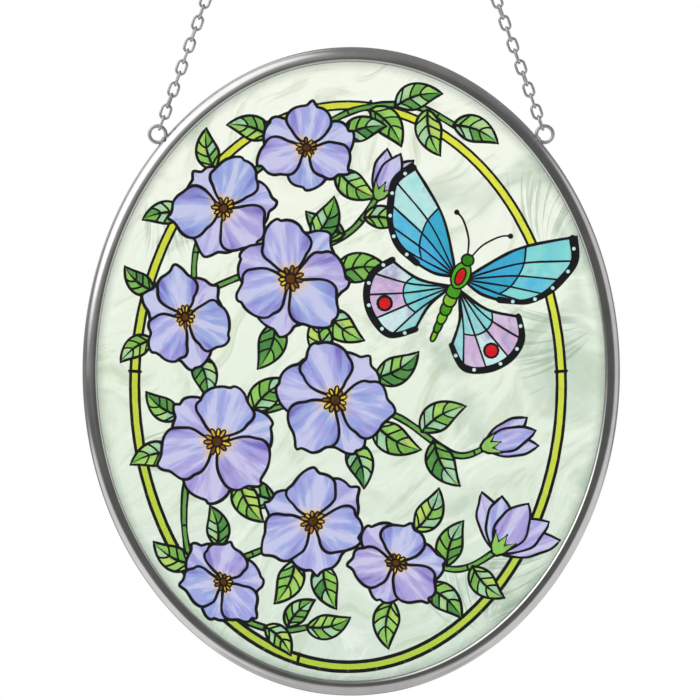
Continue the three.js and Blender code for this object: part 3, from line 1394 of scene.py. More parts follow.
@dataclass
class Butterfly:
    """A butterfly with its wings spread: two pairs of veined wings, a ringed body and two feelers.

    Its turn is in degrees, and its parts are in millimetres at a size of one.
    """

    middle: tuple[float, float]
    turn: float
    size: float
    seed: int
    span: float = 30.0
    bar_line: float = 0.6
    vein_line: float = 0.65
    border_line: float = 2.0
    border_inset: float = 0.035
    pearl: float = 0.62
    eye: float = 2.3
    eye_inset: float = 0.2

    FORE_ROOT, HIND_ROOT = (1.2, 2.4), (1.2, -1.0)
    FORE_MARGIN = ((29, 30), (32.5, 23), (31, 15.5), (28, 9), (23, 4), (15, 1.2))
    HIND_MARGIN = ((23, -1), (27, -7.5), (26, -15), (20.5, -21.5), (13, -24), (6.5, -19))
    FORE_BULGES, HIND_BULGES = (3.0, -1.2), (-2.2, 1.6)
    FORE_TONE, HIND_TONE = 0.1, 0.5
    FEELER = ((0.5, 9.5), (2.4, 15), (6.5, 20), (9.5, 21.5))

    def draw(self, picture: Picture) -> None:
        """Paints the hind wings, the fore wings and the body.

        Args:
            picture: What it is painted in.
        """
        pick = random.Random(self.seed)
        place = Placement(Vector(self.middle), self.turn, self.size)
        hind = (self.HIND_ROOT, self.HIND_MARGIN, self.HIND_BULGES, self.HIND_TONE)
        fore = (self.FORE_ROOT, self.FORE_MARGIN, self.FORE_BULGES, self.FORE_TONE)
        for wing in (hind, fore):
            for side in (1, -1):
                self._wing(picture, place, side, *wing, pick)
        self._body(picture, place)

    def _wing(
        self, picture: Picture, place: Placement, side: int, root: tuple[float, float],
        margin: Sequence[tuple[float, float]], bulges: tuple[float, float], tone: float,
        pick: random.Random,
    ) -> None:
        """Paints one wing.

        Args:
            picture: What it is painted in.
            place: The butterfly's placement.
            side: 1 or -1, the side of the body.
            root: Where the wing leaves the body.
            margin: Where its veins meet its outer margin, from the front to the back.
            bulges: How far the first and the last vein bow.
            tone: The tone of its inner cells.
            pick: Its source of small differences.
        """
        start = Vector(root)
        knots = [Vector(point) for point in margin]
        veins = []
        for number, knot in enumerate(knots):
            share = number / (len(knots) - 1)
            bow = bulges[0] * (1 - share) + bulges[1] * share
            run = knot - start
            middle = start + run / 2 + Vector((-run.y, run.x)).normalized() * bow
            veins.append(smooth_path([start, middle, knot], step=1.6))
        edge = smooth_path(knots, step=1.4)
        cuts = [min(range(len(edge)), key=lambda i, k=knot: (edge[i] - k).length) for knot in knots]
        away = place.at(0, 0)
        root_spot = place.at(side * start.x, start.y)
        chart = CellChart(root_spot, place.at(side * self.span, 0) - away, place.at(0, self.span) - away)

        def lay(points: Sequence[Vector]) -> list[Vector]:
            """Returns points of the right wing on this wing."""
            return [place.at(side * point.x, point.y) for point in points]

        def bar(vein: Sequence[Vector]) -> int:
            """Returns the number of the point at which the crossing bar meets a vein."""
            return len(vein) * 5 // 9

        cells = len(knots) - 1
        for number in range(cells):
            front, back = veins[number], veins[number + 1]
            inner = front[:bar(front) + 1] + back[bar(back)::-1][:-1]
            outer = front[bar(front):-1] + edge[cuts[number]:cuts[number + 1]] + back[:bar(back) - 1:-1]
            near = tone + pick.uniform(0, 0.2)
            far = min(1.0, tone + 0.3 + pick.uniform(-0.1, 0.35))
            picture.fill(lay(inner), Glaze.WING, chart, near)
            picture.fill(lay(outer), Glaze.WING, chart, far if number < cells - 1 else near)
        bars = [vein[bar(vein)] for vein in veins[:-1]]
        picture.line(lay(smooth_path(bars, step=1.6)), self.bar_line * self.size)
        for vein in veins[1:-1]:
            picture.line(lay(vein), self.vein_line * self.size)
        outline = veins[0] + edge[1:-1] + veins[-1][::-1][:-1]
        picture.line(lay(outline), closed=True)
        inset = [point + (start - point) * self.border_inset for point in edge]
        picture.line(lay(inset), self.border_line * self.size)
        pale = 0.8
        for before, after in zip(cuts, cuts[1:]):
            spot = edge[(before + after) // 2]
            spot = spot + (start - spot) * self.border_inset
            picture.fill(lay(dot(spot, self.pearl)), Glaze.WING, chart, pale)
        if margin is self.HIND_MARGIN:
            eye = (edge[cuts[2]] + edge[cuts[3]]) / 2
            eye = eye + (start - eye) * self.eye_inset
            eye_line = 0.8
            picture.cell(lay(dot(eye, self.eye, 12)), Glaze.RUBY, chart, 0.5, eye_line)

    def _body(self, picture: Picture, place: Placement) -> None:
        """Paints the feelers, the ringed abdomen, the chest and the head.

        Args:
            picture: What they are painted in.
            place: The butterfly's placement.
        """
        line, knob = 0.6, 0.9
        for side in (1, -1):
            knots = [place.at(side * x, y) for x, y in self.FEELER]
            picture.line(smooth_path(knots), line)
            picture.fill(dot(knots[-1], knob), Glaze.BLACK)
        rings, ring_tones = 6, (0.35, 0.8)
        foremost, pitch, widest, narrowing = -0.5, 3.1, 2.1, 0.26
        for number in range(rings - 1, -1, -1):
            top, bottom = foremost - pitch * number, foremost - pitch * (number + 1)
            half_top, half_bottom = widest - narrowing * number, widest - narrowing * (number + 1)
            knots = [(0, top), (half_top, top - 0.4), (half_bottom + 0.2, bottom), (0, bottom - 0.8)]
            knots += [(-x, y) for x, y in knots[-2:0:-1]]
            outline = smooth_path([place.at(x, y) for x, y in knots], closed=True)
            picture.cell(outline, Glaze.BODY, PANEL_CHART, ring_tones[number % 2], line)
        sides, body_line = 15, 0.65
        for middle, half, tall, glaze, tone in (
            (3.4, 3.0, 4.6, Glaze.BODY, 0.5),
            (3.0, 1.5, 2.9, Glaze.RUBY, 0.5),
            (8.8, 2.0, 1.9, Glaze.BODY, 0.15),
        ):
            turns = [math.radians(360 / sides * side) for side in range(sides)]
            outline = [place.at(half * math.cos(turn), middle + tall * math.sin(turn)) for turn in turns]
            picture.cell(outline, glaze, PANEL_CHART, tone, body_line)


# The painted pane


@dataclass
class PaintedPane:
    """The picture on the pane's front: the pale ground, the oval stripe, and clematis with a butterfly.

    Its middle and the glass's front are in metres, and the rest in millimetres. The stripe's lines are given
    at the foot and at the top, and its joints by their steps round it. A gap of air keeps each layer apart
    from the next, and a line's triangles run together up to a turn in degrees.
    """

    middle: Vector = field(default_factory=lambda: box_middle("metal_rim"))
    half_width: float = field(default_factory=lambda: box_size("metal_rim").x / MM / 2)
    half_height: float = field(default_factory=lambda: box_size("metal_rim").z / MM / 2)
    glass_front: float = field(default_factory=lambda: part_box("glass_pane")[0][1])
    rim_face: float = 4.6
    under_rim: float = 0.7
    stripe_middle: tuple[float, float] = (-1.0, -4.6)
    stripe_half: tuple[float, float] = (66.8, 87.9)
    stripe_width: float = 1.75
    stripe_lines: tuple[float, float] = (1.15, 0.7)
    stripe_joints: tuple[int, ...] = (2, 56, 118, 171)
    joint_line: float = 1.0
    enamel_mm: float = 0.06
    line_mm: float = 0.09
    air_mm: float = 0.01
    merge_turn: float = 2.0

    def draw(self) -> Picture:
        """Paints the whole picture, from back to front.

        Returns:
            The picture.
        """
        picture = Picture()
        inset = self.rim_face - self.under_rim
        half = (self.half_width - inset, self.half_height - inset)
        steps = 180
        picture.fill([self._oval((0, 0), half, step, steps) for step in range(steps)], Glaze.GROUND)
        self._stripe(picture)
        for motif in garden():
            motif.draw(picture)
        return picture

    @staticmethod
    def _oval(middle: tuple[float, float], half: tuple[float, float], step: int, steps: int) -> Vector:
        """Returns a point of an oval, by its step round it."""
        turn = math.tau * step / steps
        return Vector((middle[0] + half[0] * math.cos(turn), middle[1] + half[1] * math.sin(turn)))

    def _stripe(self, picture: Picture) -> None:
        """Paints the stripe and its black lines: yellow and fine at the top, greener and bolder below.

        Args:
            picture: What it is painted in.
        """
        steps, length = 240, 5
        low_line, high_line = self.stripe_lines
        path = [self._oval(self.stripe_middle, self.stripe_half, step, steps) for step in range(steps + 1)]
        for step in range(0, steps, length):
            height = 0.5 + 0.5 * math.sin(math.tau * (step + length / 2) / steps)
            outer = self.stripe_width + 2 * (low_line + (high_line - low_line) * height)
            picture.band(path[step:step + length + 1], outer, Glaze.BLACK, 0.0)
            picture.band(path[step:step + length + 1], self.stripe_width, Glaze.STRIPE, height)
        for step in self.stripe_joints:
            here = path[step]
            across = (here - Vector(self.stripe_middle)).normalized() * self.stripe_width
            picture.line([here - across, here + across], self.joint_line)

    def finishes(self) -> list[Finish]:
        """Lists the enamels in the order of the glazes.

        Returns:
            The finish of each glaze but the black.
        """
        see_through = {"roughness": 0.2, "transmission": 0.9, "ior": 1.4}
        return [
            GroundEnamel(
                "milky_ground_enamel",
                middle_m=tuple(self.middle),
                half_m=((self.half_width - self.rim_face) * MM, (self.half_height - self.rim_face) * MM),
                **see_through,
            ),
            ShadeEnamel(
                "yellow_green_enamel",
                shades=((0.1, "#c0d652"), (0.9, "#ecea48")),
                deep="#b4c83a",
                **see_through,
            ),
            PetalEnamel("lavender_enamel", **see_through),
            ShadeEnamel(
                "leaf_green_enamel",
                shades=((0.0, "#47864a"), (1.0, "#aed8b4"), (0.25, "#68a650"), (0.5, "#8cc45a"),
                        (0.7, "#a8d872"), (0.88, "#c4dc6c")),
                deep="#3a7a3e",
                **see_through,
            ),
            ShadeEnamel(
                "turquoise_enamel",
                shades=((0.0, "#35a8c2"), (1.0, "#d9b8de"), (0.3, "#4cb6e6"), (0.55, "#8cdcdc"),
                        (0.8, "#d4f0f0")),
                deep="#2a8cb4",
                **see_through,
            ),
            ShadeEnamel(
                "grass_green_enamel",
                shades=((0.0, "#1f6a18"), (1.0, "#a8da3c"), (0.5, "#56b41e")),
                deep="#2c7a16",
                **see_through,
            ),
            ShadeEnamel(
                "ruby_enamel", shades=((0.3, "#cc101e"), (0.7, "#ea2a2c")), deep="#8e0814", **see_through
            ),
            ShadeEnamel(
                "amber_enamel",
                shades=((0.0, "#3c200a"), (1.0, "#f6d22c"), (0.35, "#8a5418"), (0.7, "#d69a30")),
                deep="#7a4a14",
                **see_through,
            ),
        ]

    def _sheet(
        self, name: str, corners: Sequence[Vector], pieces: Sequence[tuple[Patch, Sequence[int]]],
        front: float, thickness: float, merge: bool = False,
    ) -> Object:
        """Makes a thin sheet from triangles of the picture.

        A cell's border is a free outline that no primitive gives, so the sheet takes the picture's own
        partition, and its thickness comes from a Solidify modifier.

        Args:
            name: The piece's name.
            corners: The partition's corners, in millimetres.
            pieces: For each triangle, its patch and its corners.
            front: The depth of its front face, in metres.
            thickness: Its thickness, in millimetres.
            merge: Whether the triangles of one stroke run together.

        Returns:
            The sheet.
        """
        used = sorted({corner for _, triangle in pieces for corner in triangle})
        number = {corner: place for place, corner in enumerate(used)}
        mesh = bpy.data.meshes.new(name)
        mesh.from_pydata(
            [(self.middle.x + corners[c].x * MM, front, self.middle.z + corners[c].y * MM) for c in used],
            [],
            [[number[corner] for corner in triangle] for _, triangle in pieces],
        )
        chart = mesh.uv_layers.new(name=CELL_MAP)
        tone = mesh.attributes.new(TONE, "FLOAT", "FACE")
        for face, (patch, triangle) in enumerate(pieces):
            tone.data[face].value = patch.tone
            for side, corner in enumerate(triangle):
                chart.data[3 * face + side].uv = patch.chart.chart(corners[corner])
        if merge:
            strokes = {}
            groups = [strokes.setdefault(id(patch), len(strokes)) for patch, _ in pieces]
        else:
            groups = [patch.glaze.value for patch, _ in pieces]
        mesh.polygons.foreach_set("material_index", groups)
        sheet = bpy.data.objects.new(name, mesh)
        bpy.context.collection.objects.link(sheet)
        if merge:
            with editing(sheet):
                bpy.ops.mesh.select_all(action="SELECT")
                bpy.ops.mesh.dissolve_limited(angle_limit=math.radians(self.merge_turn), delimit={"MATERIAL"})
        make_active(sheet)
        bpy.ops.object.modifier_add(type="SOLIDIFY")
        solidify = sheet.modifiers[-1]
        solidify.thickness = thickness * MM
        solidify.offset = -1.0
        bpy.ops.object.modifier_apply(modifier=solidify.name)
        return sheet

    def build(self) -> list[Object]:
        """Makes the enamel film and the black outlines that lie on it.

        Returns:
            The two pieces.
        """
        picture = self.draw()
        corners, pieces = picture.partition(lambda patch: patch.glaze is not Glaze.BLACK)
        film_front = self.glass_front - (self.air_mm + self.enamel_mm) * MM
        film = self._sheet("enamel_film", corners, pieces, film_front, self.enamel_mm)
        for finish in self.finishes():
            film.data.materials.append(finish.build())
        corners, pieces = picture.partition(lambda patch: True)
        black = [(patch, triangle) for patch, triangle in pieces if patch.glaze is Glaze.BLACK]
        line_front = film_front - (self.air_mm + self.line_mm) * MM
        outlines = self._sheet("black_outlines", corners, black, line_front, self.line_mm, merge=True)
        outlines.data.polygons.foreach_set("material_index", [0] * len(outlines.data.polygons))
        outlines.data.materials.append(BlackLine("black_relief_paste", roughness=0.4).build())
        for piece in (film, outlines):
            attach(piece, BODY)
        return [film, outlines]


def garden() -> list[Blossom | Leaf | Stem | Bell | Butterfly]:
    """Returns the motifs from back to front: stems, leaves, buds, flowers, then the butterfly."""
    stems = [
        Stem(((-13, -80), (-24, -81), (-38, -75), (-50, -60), (-52, -38), (-45, -12), (-48, 14), (-48, 40),
              (-33, 60), (-14, 74))),
        Stem(((-44, -62), (-28, -56), (-12, -48), (10, -54), (32, -62), (46, -56))),
        Stem(((-44, -14), (-26, -12), (-8, -8), (14, -14), (32, -26), (42, -24))),
        Stem(((-48, 24), (-34, 30), (-16, 36), (0, 44), (9, 56))),
        Stem(((-14, 74), (2, 82), (20, 83), (34, 76))),
    ]
    leaves = [
        Leaf((-14, -80), 12, 14, 1, 0.5, -0.1),
        Leaf((-27, -80), -48, 12, 2, 0.7),
        Leaf((-20, -80), 44, 12, 3, 0.35),
        Leaf((14, 83), 15, 15, 4, 0.4),
        Leaf((24, 82), -75, 15, 5, 0.7, -0.1),
        Leaf((6, 82), -50, 15, 6, 0.55),
        Leaf((22, -19), 30, 16, 7, 0.6),
        Leaf((26, -22), -60, 16, 8, 0.35, -0.1),
        Leaf((30, -61), 70, 15, 9, 0.5),
        Leaf((38, -61), -45, 14, 10, 0.7, -0.1),
        Leaf((32, 77), -22, 15, 13, 0.45),
        Leaf((-2, 43), 150, 14, 11, 0.3),
        Leaf((4, 48), -10, 13, 12, 0.7),
    ]
    bells = [
        Bell((41, -24), 18, 17, 34),
        Bell((8, 54), 62, 16, 35),
        Bell((45, -57), 56, 19, 36, (46, -46, 26, -26, 0), 0.25),
    ]
    flowers = [
        Blossom((-40, -66), 15.5, 41, turn=12, lean=40, squash=0.84),
        Blossom((-14, 70), 16.5, 44, turn=25, lean=80, squash=0.86),
        Blossom((-40, 51), 17.5, 43, turn=10, lean=-40, squash=0.93),
        Blossom((-52, 17), 17.5, 42, turn=40, lean=10, squash=0.84),
        Blossom((14, -60), 16.5, 45, turn=5, lean=70, squash=0.86),
        Blossom((-19, 29), 19.5, 49, turn=52, petals=7),
        Blossom((-12, -47), 18.5, 46, turn=33, lean=-60, squash=0.93),
        Blossom((-42, -22), 19.5, 47, turn=18),
        Blossom((-5, -9), 19.5, 48, turn=50, lean=20, squash=0.95),
    ]
    sprays = (
        (0, 100, 13, 0.4), (0, 150, 14, 0.7), (1, 164, 14, 0.5), (1, 15, 14, 0.3), (1, -35, 15, 0.65),
        (2, 102, 13, 0.6), (2, 188, 13, 0.35), (3, 140, 12, 0.45), (3, 215, 12, 0.7), (3, -75, 14, 0.3),
        (4, -95, 15, 0.6), (4, -40, 15, 0.4), (4, 60, 15, 0.75), (5, 5, 17, 0.5), (5, -40, 16, 0.7),
        (5, -110, 16, 0.3), (5, 62, 15, 0.4), (6, -115, 15, 0.65), (6, -75, 15, 0.35), (6, 150, 15, 0.5),
        (7, 195, 14, 0.6), (7, 145, 13, 0.35), (7, -60, 15, 0.7), (7, 40, 16, 0.45), (8, -30, 17, 0.6),
        (8, -72, 15, 0.3), (8, 30, 16, 0.4), (8, 100, 14, 0.7),
    )
    first_seed = 70
    for seed, (owner, angle, length, tone) in enumerate(sprays, first_seed):
        leaves.append(flowers[owner].leaf(angle, length, seed, tone))
    return [*stems, *leaves, *bells, *flowers, Butterfly((33, 27), -24, 0.97, 60)]


# Metalwork


def make_active(piece: Object) -> None:
    """Deselects everything else and makes one piece the active one."""
    bpy.ops.object.select_all(action="DESELECT")
    piece.select_set(True)
    bpy.context.view_layer.objects.active = piece


@contextmanager
def editing(piece: Object) -> Iterator[bmesh.types.BMesh]:
    """Opens a piece in edit mode with nothing selected, and closes it again.

    Args:
        piece: The piece.

    Yields:
        Its mesh.
    """
    make_active(piece)
    bpy.ops.object.mode_set(mode="EDIT")
    bpy.ops.mesh.select_all(action="DESELECT")
    yield bmesh.from_edit_mesh(piece.data)
    bpy.ops.object.mode_set(mode="OBJECT")


def pick_verts(piece: Object, shape: bmesh.types.BMesh, wanted: Callable[[Vector], bool]) -> None:
    """Selects the vertices whose place is wanted, and nothing else.

    Args:
        piece: The piece, in edit mode.
        shape: Its mesh.
        wanted: Says which places are.
    """
    bpy.ops.mesh.select_all(action="DESELECT")
    bpy.ops.mesh.select_mode(type="VERT")
    for vert in shape.verts:
        vert.select = wanted(vert.co)
    shape.select_flush(True)
    bmesh.update_edit_mesh(piece.data)


def settle(piece: Object, name: str) -> Object:
    """Puts a piece's place into its mesh, names it and smooths it.

    Args:
        piece: The piece.
        name: Its name.

    Returns:
        The piece.
    """
    sharpest_smooth_edge = math.radians(40)
    make_active(piece)
    bpy.ops.object.transform_apply(location=True, rotation=True, scale=True)
    piece.name = name
    piece.data.name = name
    bpy.ops.object.shade_smooth_by_angle(angle=sharpest_smooth_edge)
    return piece


@dataclass
class Rim:
    """The metal channel: a rounded face that rises from the outer edge to a crest beside its inner lip."""

    middle: Vector = field(default_factory=lambda: box_middle("metal_rim"))
    size: Vector = field(default_factory=lambda: box_size("metal_rim"))
    face: float = 4.6
    crest: float = 3.8
    lip_drop: float = 0.7
    channel: float = 3.6
    channel_depth: float = 2.3
    arc_steps: int = 14
    lip_steps: int = 3
    lip_fullness: float = 0.35
    oval_steps: int = 64

    def _section(self) -> Object:
        """Models the section as a plate with rounded corners, cuts its channel, and keeps its outline.

        Returns:
            The outline, as a curve.
        """
        half_depth = self.size.y / 2
        stretch = half_depth / (self.crest * MM)
        bpy.ops.mesh.primitive_plane_add(size=1, location=(self.face * MM / 2, 0, 0))
        plate = bpy.context.object
        plate.scale = (self.face * MM, 2 * self.crest * MM, 1)
        bpy.ops.object.transform_apply(location=True, rotation=True, scale=True)
        near, nearly_all = 0.1, 0.999
        with editing(plate) as shape:
            pick_verts(plate, shape, lambda place: place.x < near * MM)
            bpy.ops.mesh.bevel(
                offset=self.crest * MM * nearly_all, segments=self.arc_steps, affect="VERTICES"
            )
            pick_verts(plate, shape, lambda place: place.x > (self.face - near) * MM)
            bpy.ops.mesh.bevel(
                offset=self.lip_drop * MM, segments=self.lip_steps, profile=self.lip_fullness,
                affect="VERTICES",
            )
            bpy.ops.mesh.select_all(action="SELECT")
            bpy.ops.transform.resize(value=(1, stretch, 1))
            floor = (self.face - self.channel_depth) * MM
            wall = self.channel / 2 * MM
            cuts = (((floor, 0, 0), (1, 0, 0)), ((0, wall, 0), (0, 1, 0)), ((0, -wall, 0), (0, 1, 0)))
            for place, normal in cuts:
                bpy.ops.mesh.select_all(action="SELECT")
                bpy.ops.mesh.bisect(plane_co=place, plane_no=normal)
            bpy.ops.mesh.select_all(action="DESELECT")
            bpy.ops.mesh.select_mode(type="FACE")
            shape = bmesh.from_edit_mesh(plate.data)
            for face in shape.faces:
                spot = face.calc_center_median()
                face.select = spot.x > floor and abs(spot.y) < wall
            bmesh.update_edit_mesh(plate.data)
            bpy.ops.mesh.delete(type="FACE")
            bpy.ops.mesh.select_all(action="SELECT")
            bpy.ops.mesh.dissolve_faces()
            bpy.ops.mesh.select_all(action="SELECT")
            bpy.ops.mesh.delete(type="ONLY_FACE")
        make_active(plate)
        bpy.ops.object.convert(target="CURVE")
        return bpy.context.object

    def build(self) -> Object:
        """Sweeps the section round the oval.

        Returns:
            The rim.
        """
        section = self._section()
        bpy.ops.object.select_all(action="DESELECT")
        upright = (math.pi / 2, 0, 0)
        bpy.ops.curve.primitive_bezier_circle_add(radius=1, location=self.middle, rotation=upright)
        rim = bpy.context.object
        rim.scale = (self.size.x / 2, self.size.z / 2, 1)
        bpy.ops.object.transform_apply(location=False, rotation=False, scale=True)
        for point in rim.data.splines[0].bezier_points:
            point.radius = 1.0
        rim.data.resolution_u = self.oval_steps
        rim.data.bevel_mode = "OBJECT"
        rim.data.bevel_object = section
        make_active(rim)
        bpy.ops.object.convert(target="MESH")
        rim = bpy.context.object
        seam = 0.002
        with editing(rim):
            bpy.ops.mesh.select_all(action="SELECT")
            bpy.ops.mesh.remove_doubles(threshold=seam * MM)
            bpy.ops.mesh.normals_make_consistent(inside=False)
        bpy.data.objects.remove(section)
        settle(rim, "polished_rim")
        rim.data.materials.clear()
        rim.data.materials.append(PolishedNickel("polished_nickel", roughness=0.16, metallic=1.0).build())
        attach(rim, BODY)
        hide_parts("metal_rim")
        return rim


@dataclass
class Loop:
    """A wire loop standing on the rim's edge in a run of solder, on the right (1) or the left (-1).

    Its angle is in degrees from the top of the oval, its sizes are in millimetres, and its wire is a radius.
    """

    side: int
    finish: Material
    oval_middle: Vector = field(default_factory=lambda: box_middle("metal_rim"))
    oval_size: Vector = field(default_factory=lambda: box_size("metal_rim"))
    angle: float = 44.3
    standoff: float = 2.4
    radius: float = 2.58
    wire: float = 0.58
    solder: tuple[float, float, float] = (4.6, 1.7, 1.3)
    grain: float = 0.11
    smoothing: int = 3

    def middle(self) -> Vector:
        """Returns the middle of the loop."""
        foot, out = self._foot()
        return foot + out * self.standoff * MM

    def _foot(self) -> tuple[Vector, Vector]:
        """Returns the point of the rim's edge under the loop, and the direction straight out of it."""
        turn = math.radians(self.angle)
        half_x, half_z = self.oval_size.x / 2, self.oval_size.z / 2
        edge = Vector((self.side * half_x * math.sin(turn), 0, half_z * math.cos(turn)))
        out = Vector((self.side * math.sin(turn) / half_x, 0, math.cos(turn) / half_z)).normalized()
        return self.oval_middle + edge, out

    def build(self) -> Object:
        """Runs a ring and a drop of solder together, so that the solder creeps up the wire.

        Returns:
            The loop.
        """
        bpy.ops.object.select_all(action="DESELECT")
        bpy.ops.mesh.primitive_torus_add(
            major_radius=self.radius * MM, minor_radius=self.wire * MM, major_segments=64,
            minor_segments=20, location=self.middle(), rotation=(math.pi / 2, 0, 0),
        )
        ring = bpy.context.object
        foot, out = self._foot()
        bpy.ops.object.select_all(action="DESELECT")
        upright = out.to_track_quat("Z", "Y").to_euler()
        bpy.ops.mesh.primitive_uv_sphere_add(
            radius=0.5, segments=32, ring_count=16, location=foot, rotation=upright
        )
        drop = bpy.context.object
        drop.scale = [self.solder[axis] * MM for axis in (0, 1, 2)]
        ring.select_set(True)
        bpy.context.view_layer.objects.active = ring
        bpy.ops.object.join()
        make_active(ring)
        bpy.ops.object.transform_apply(location=True, rotation=True, scale=True)
        bpy.ops.object.modifier_add(type="REMESH")
        ring.modifiers[-1].voxel_size = self.grain * MM
        bpy.ops.object.modifier_apply(modifier=ring.modifiers[-1].name)
        bpy.ops.object.modifier_add(type="SMOOTH")
        ring.modifiers[-1].iterations = self.smoothing
        bpy.ops.object.modifier_apply(modifier=ring.modifiers[-1].name)
        name = "left_loop" if self.side < 0 else "right_loop"
        settle(ring, f"{name}_soldered")
        ring.data.materials.append(self.finish)
        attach(ring, BODY)
        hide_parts(name)
        return ring


@dataclass
class HangingRing:
    """The ring in which both legs of chain meet, in millimetres, with its joint's turn in degrees."""

    finish: Material
    middle: Vector = field(default_factory=lambda: box_middle("hanging_ring"))
    radius: float = 5.0
    wire: float = 0.65
    joint: float = 0.12
    joint_size: float = 0.9
    joint_turn: float = -140.0

    def build(self) -> Object:
        """Models the ring with the fine line where its ends meet.

        Returns:
            The ring.
        """
        bpy.ops.object.select_all(action="DESELECT")
        bpy.ops.mesh.primitive_torus_add(
            major_radius=self.radius * MM, minor_radius=self.wire * MM, major_segments=96,
            minor_segments=20, location=self.middle,
            rotation=(math.pi / 2, math.radians(self.joint_turn), 0),
        )
        ring = bpy.context.object
        near, on_line = 0.05 * MM, 0.01 * MM
        with editing(ring) as shape:
            pick_verts(ring, shape, lambda place: place.x > 0 and abs(place.y) < near)
            bpy.ops.mesh.bevel(offset=self.joint / 2 * MM, segments=2)
            pick_verts(ring, shape, lambda place: place.x > 0 and abs(place.y) < on_line)
            joint = ring.matrix_world @ Vector((self.radius * MM, 0, 0))
            bpy.ops.transform.resize(value=[self.joint_size] * 3, center_override=joint)
        settle(ring, "hanging_ring_wire")
        ring.data.materials.append(self.finish)
        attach(ring, BODY)
        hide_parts("hanging_ring")
        return ring


@dataclass
class ChainLeg:
    """One leg of cable chain from the hanging ring to a loop, on the right (1) or the left (-1).

    A link's length and width are outer ones, in millimetres, and it may hang off its quarter turn by the
    twist, in degrees.
    """

    side: int
    start: HangingRing
    end: Loop
    finish: Material
    links: int = 47
    length: float = 5.3
    width: float = 3.7
    wire: float = 0.43
    twist: float = 9.0

    def _link(self) -> Object:
        """Models one link: a ring of wire drawn out into an oval.

        Returns:
            The link, upright at the origin.
        """
        bend = self.width / 2 - self.wire
        stretch = (self.length - self.width) / 2 * MM
        bpy.ops.object.select_all(action="DESELECT")
        bpy.ops.mesh.primitive_torus_add(
            major_radius=bend * MM, minor_radius=self.wire * MM, major_segments=28, minor_segments=12,
            rotation=(math.pi / 2, 0, 0),
        )
        link = bpy.context.object
        bpy.ops.object.transform_apply(location=True, rotation=True, scale=True)
        off_middle = 0.01 * MM
        with editing(link) as shape:
            for sign in (1, -1):
                pick_verts(link, shape, lambda place, s=sign: place.z * s > off_middle)
                bpy.ops.transform.translate(value=(0, 0, sign * stretch))
        return link

    def build(self) -> Object:
        """Hangs the links in each other, each a quarter turn on from the last.

        Returns:
            The leg.
        """
        link = self._link()
        begin, finish = self.start.middle, self.end.middle()
        along = (finish - begin).normalized()
        reach = (self.length / 2 - self.wire) * MM
        first = (self.start.radius - self.start.wire - self.wire) * MM + reach
        last = (finish - begin).length - (self.end.radius - self.end.wire - self.wire) * MM - reach
        seed = 7
        pick = random.Random(seed + self.side)
        turned = along.to_track_quat("-Z", "Y").to_matrix().to_4x4()
        copies = []
        for number in range(self.links):
            middle = begin + along * (first + (last - first) * number / (self.links - 1))
            roll = math.radians(90 * number + pick.uniform(-self.twist, self.twist))
            copy = link.copy()
            copy.data = link.data.copy()
            copy.data.transform(Matrix.Translation(middle) @ turned @ Matrix.Rotation(roll, 4, "Z"))
            bpy.context.collection.objects.link(copy)
            copies.append(copy)
        bpy.data.objects.remove(link)
        make_active(copies[0])
        for copy in copies:
            copy.select_set(True)
        bpy.ops.object.join()
        name = "left_chain" if self.side < 0 else "right_chain"
        leg = settle(bpy.context.object, f"{name}_links")
        leg.data.materials.append(self.finish)
        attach(leg, BODY)
        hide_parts(name)
        return leg


# Studio


@dataclass(frozen=True)
class SoftBox:
    """A large soft light that polished metal mirrors, set by where it stands round the panel.

    It stands around from straight up, clockwise as the camera sees it, and off the line from the panel to the
    camera. It fills the spread, a half angle, and fades out over the fade. All four are in degrees.
    """

    around: float
    off_axis: float
    spread: float
    fade: float
    level: float

    def add(
        self, tree: NodeTree, way: NodeSocket, room: NodeSocket
    ) -> NodeSocket:
        """Works out the brightness of a direction once this light is in the room.

        Args:
            tree: The world's nodes.
            way: The direction.
            room: The brightness without this light.

        Returns:
            The brightness' socket.
        """
        around, off_axis = math.radians(self.around), math.radians(self.off_axis)
        sideways = math.sin(off_axis)
        aim = (math.sin(around) * sideways, -math.cos(off_axis), math.cos(around) * sideways)
        toward = add_node(tree, "ShaderNodeVectorMath", {"operation": "DOT_PRODUCT"}, {1: aim}, {0: way})
        full = math.radians(max(self.spread - self.fade / 2, 0.0))
        gone = math.radians(self.spread + self.fade / 2)
        glow = add_node(
            tree, "ShaderNodeMapRange", {"interpolation_type": "SMOOTHSTEP"},
            values={"From Min": math.cos(gone), "From Max": math.cos(full), "To Max": self.level},
            links={"Value": toward.outputs["Value"]},
        )
        lit = add_node(
            tree, "ShaderNodeMath", {"operation": "MAXIMUM"}, links={0: glow.outputs["Result"], 1: room}
        )
        return lit.outputs["Value"]


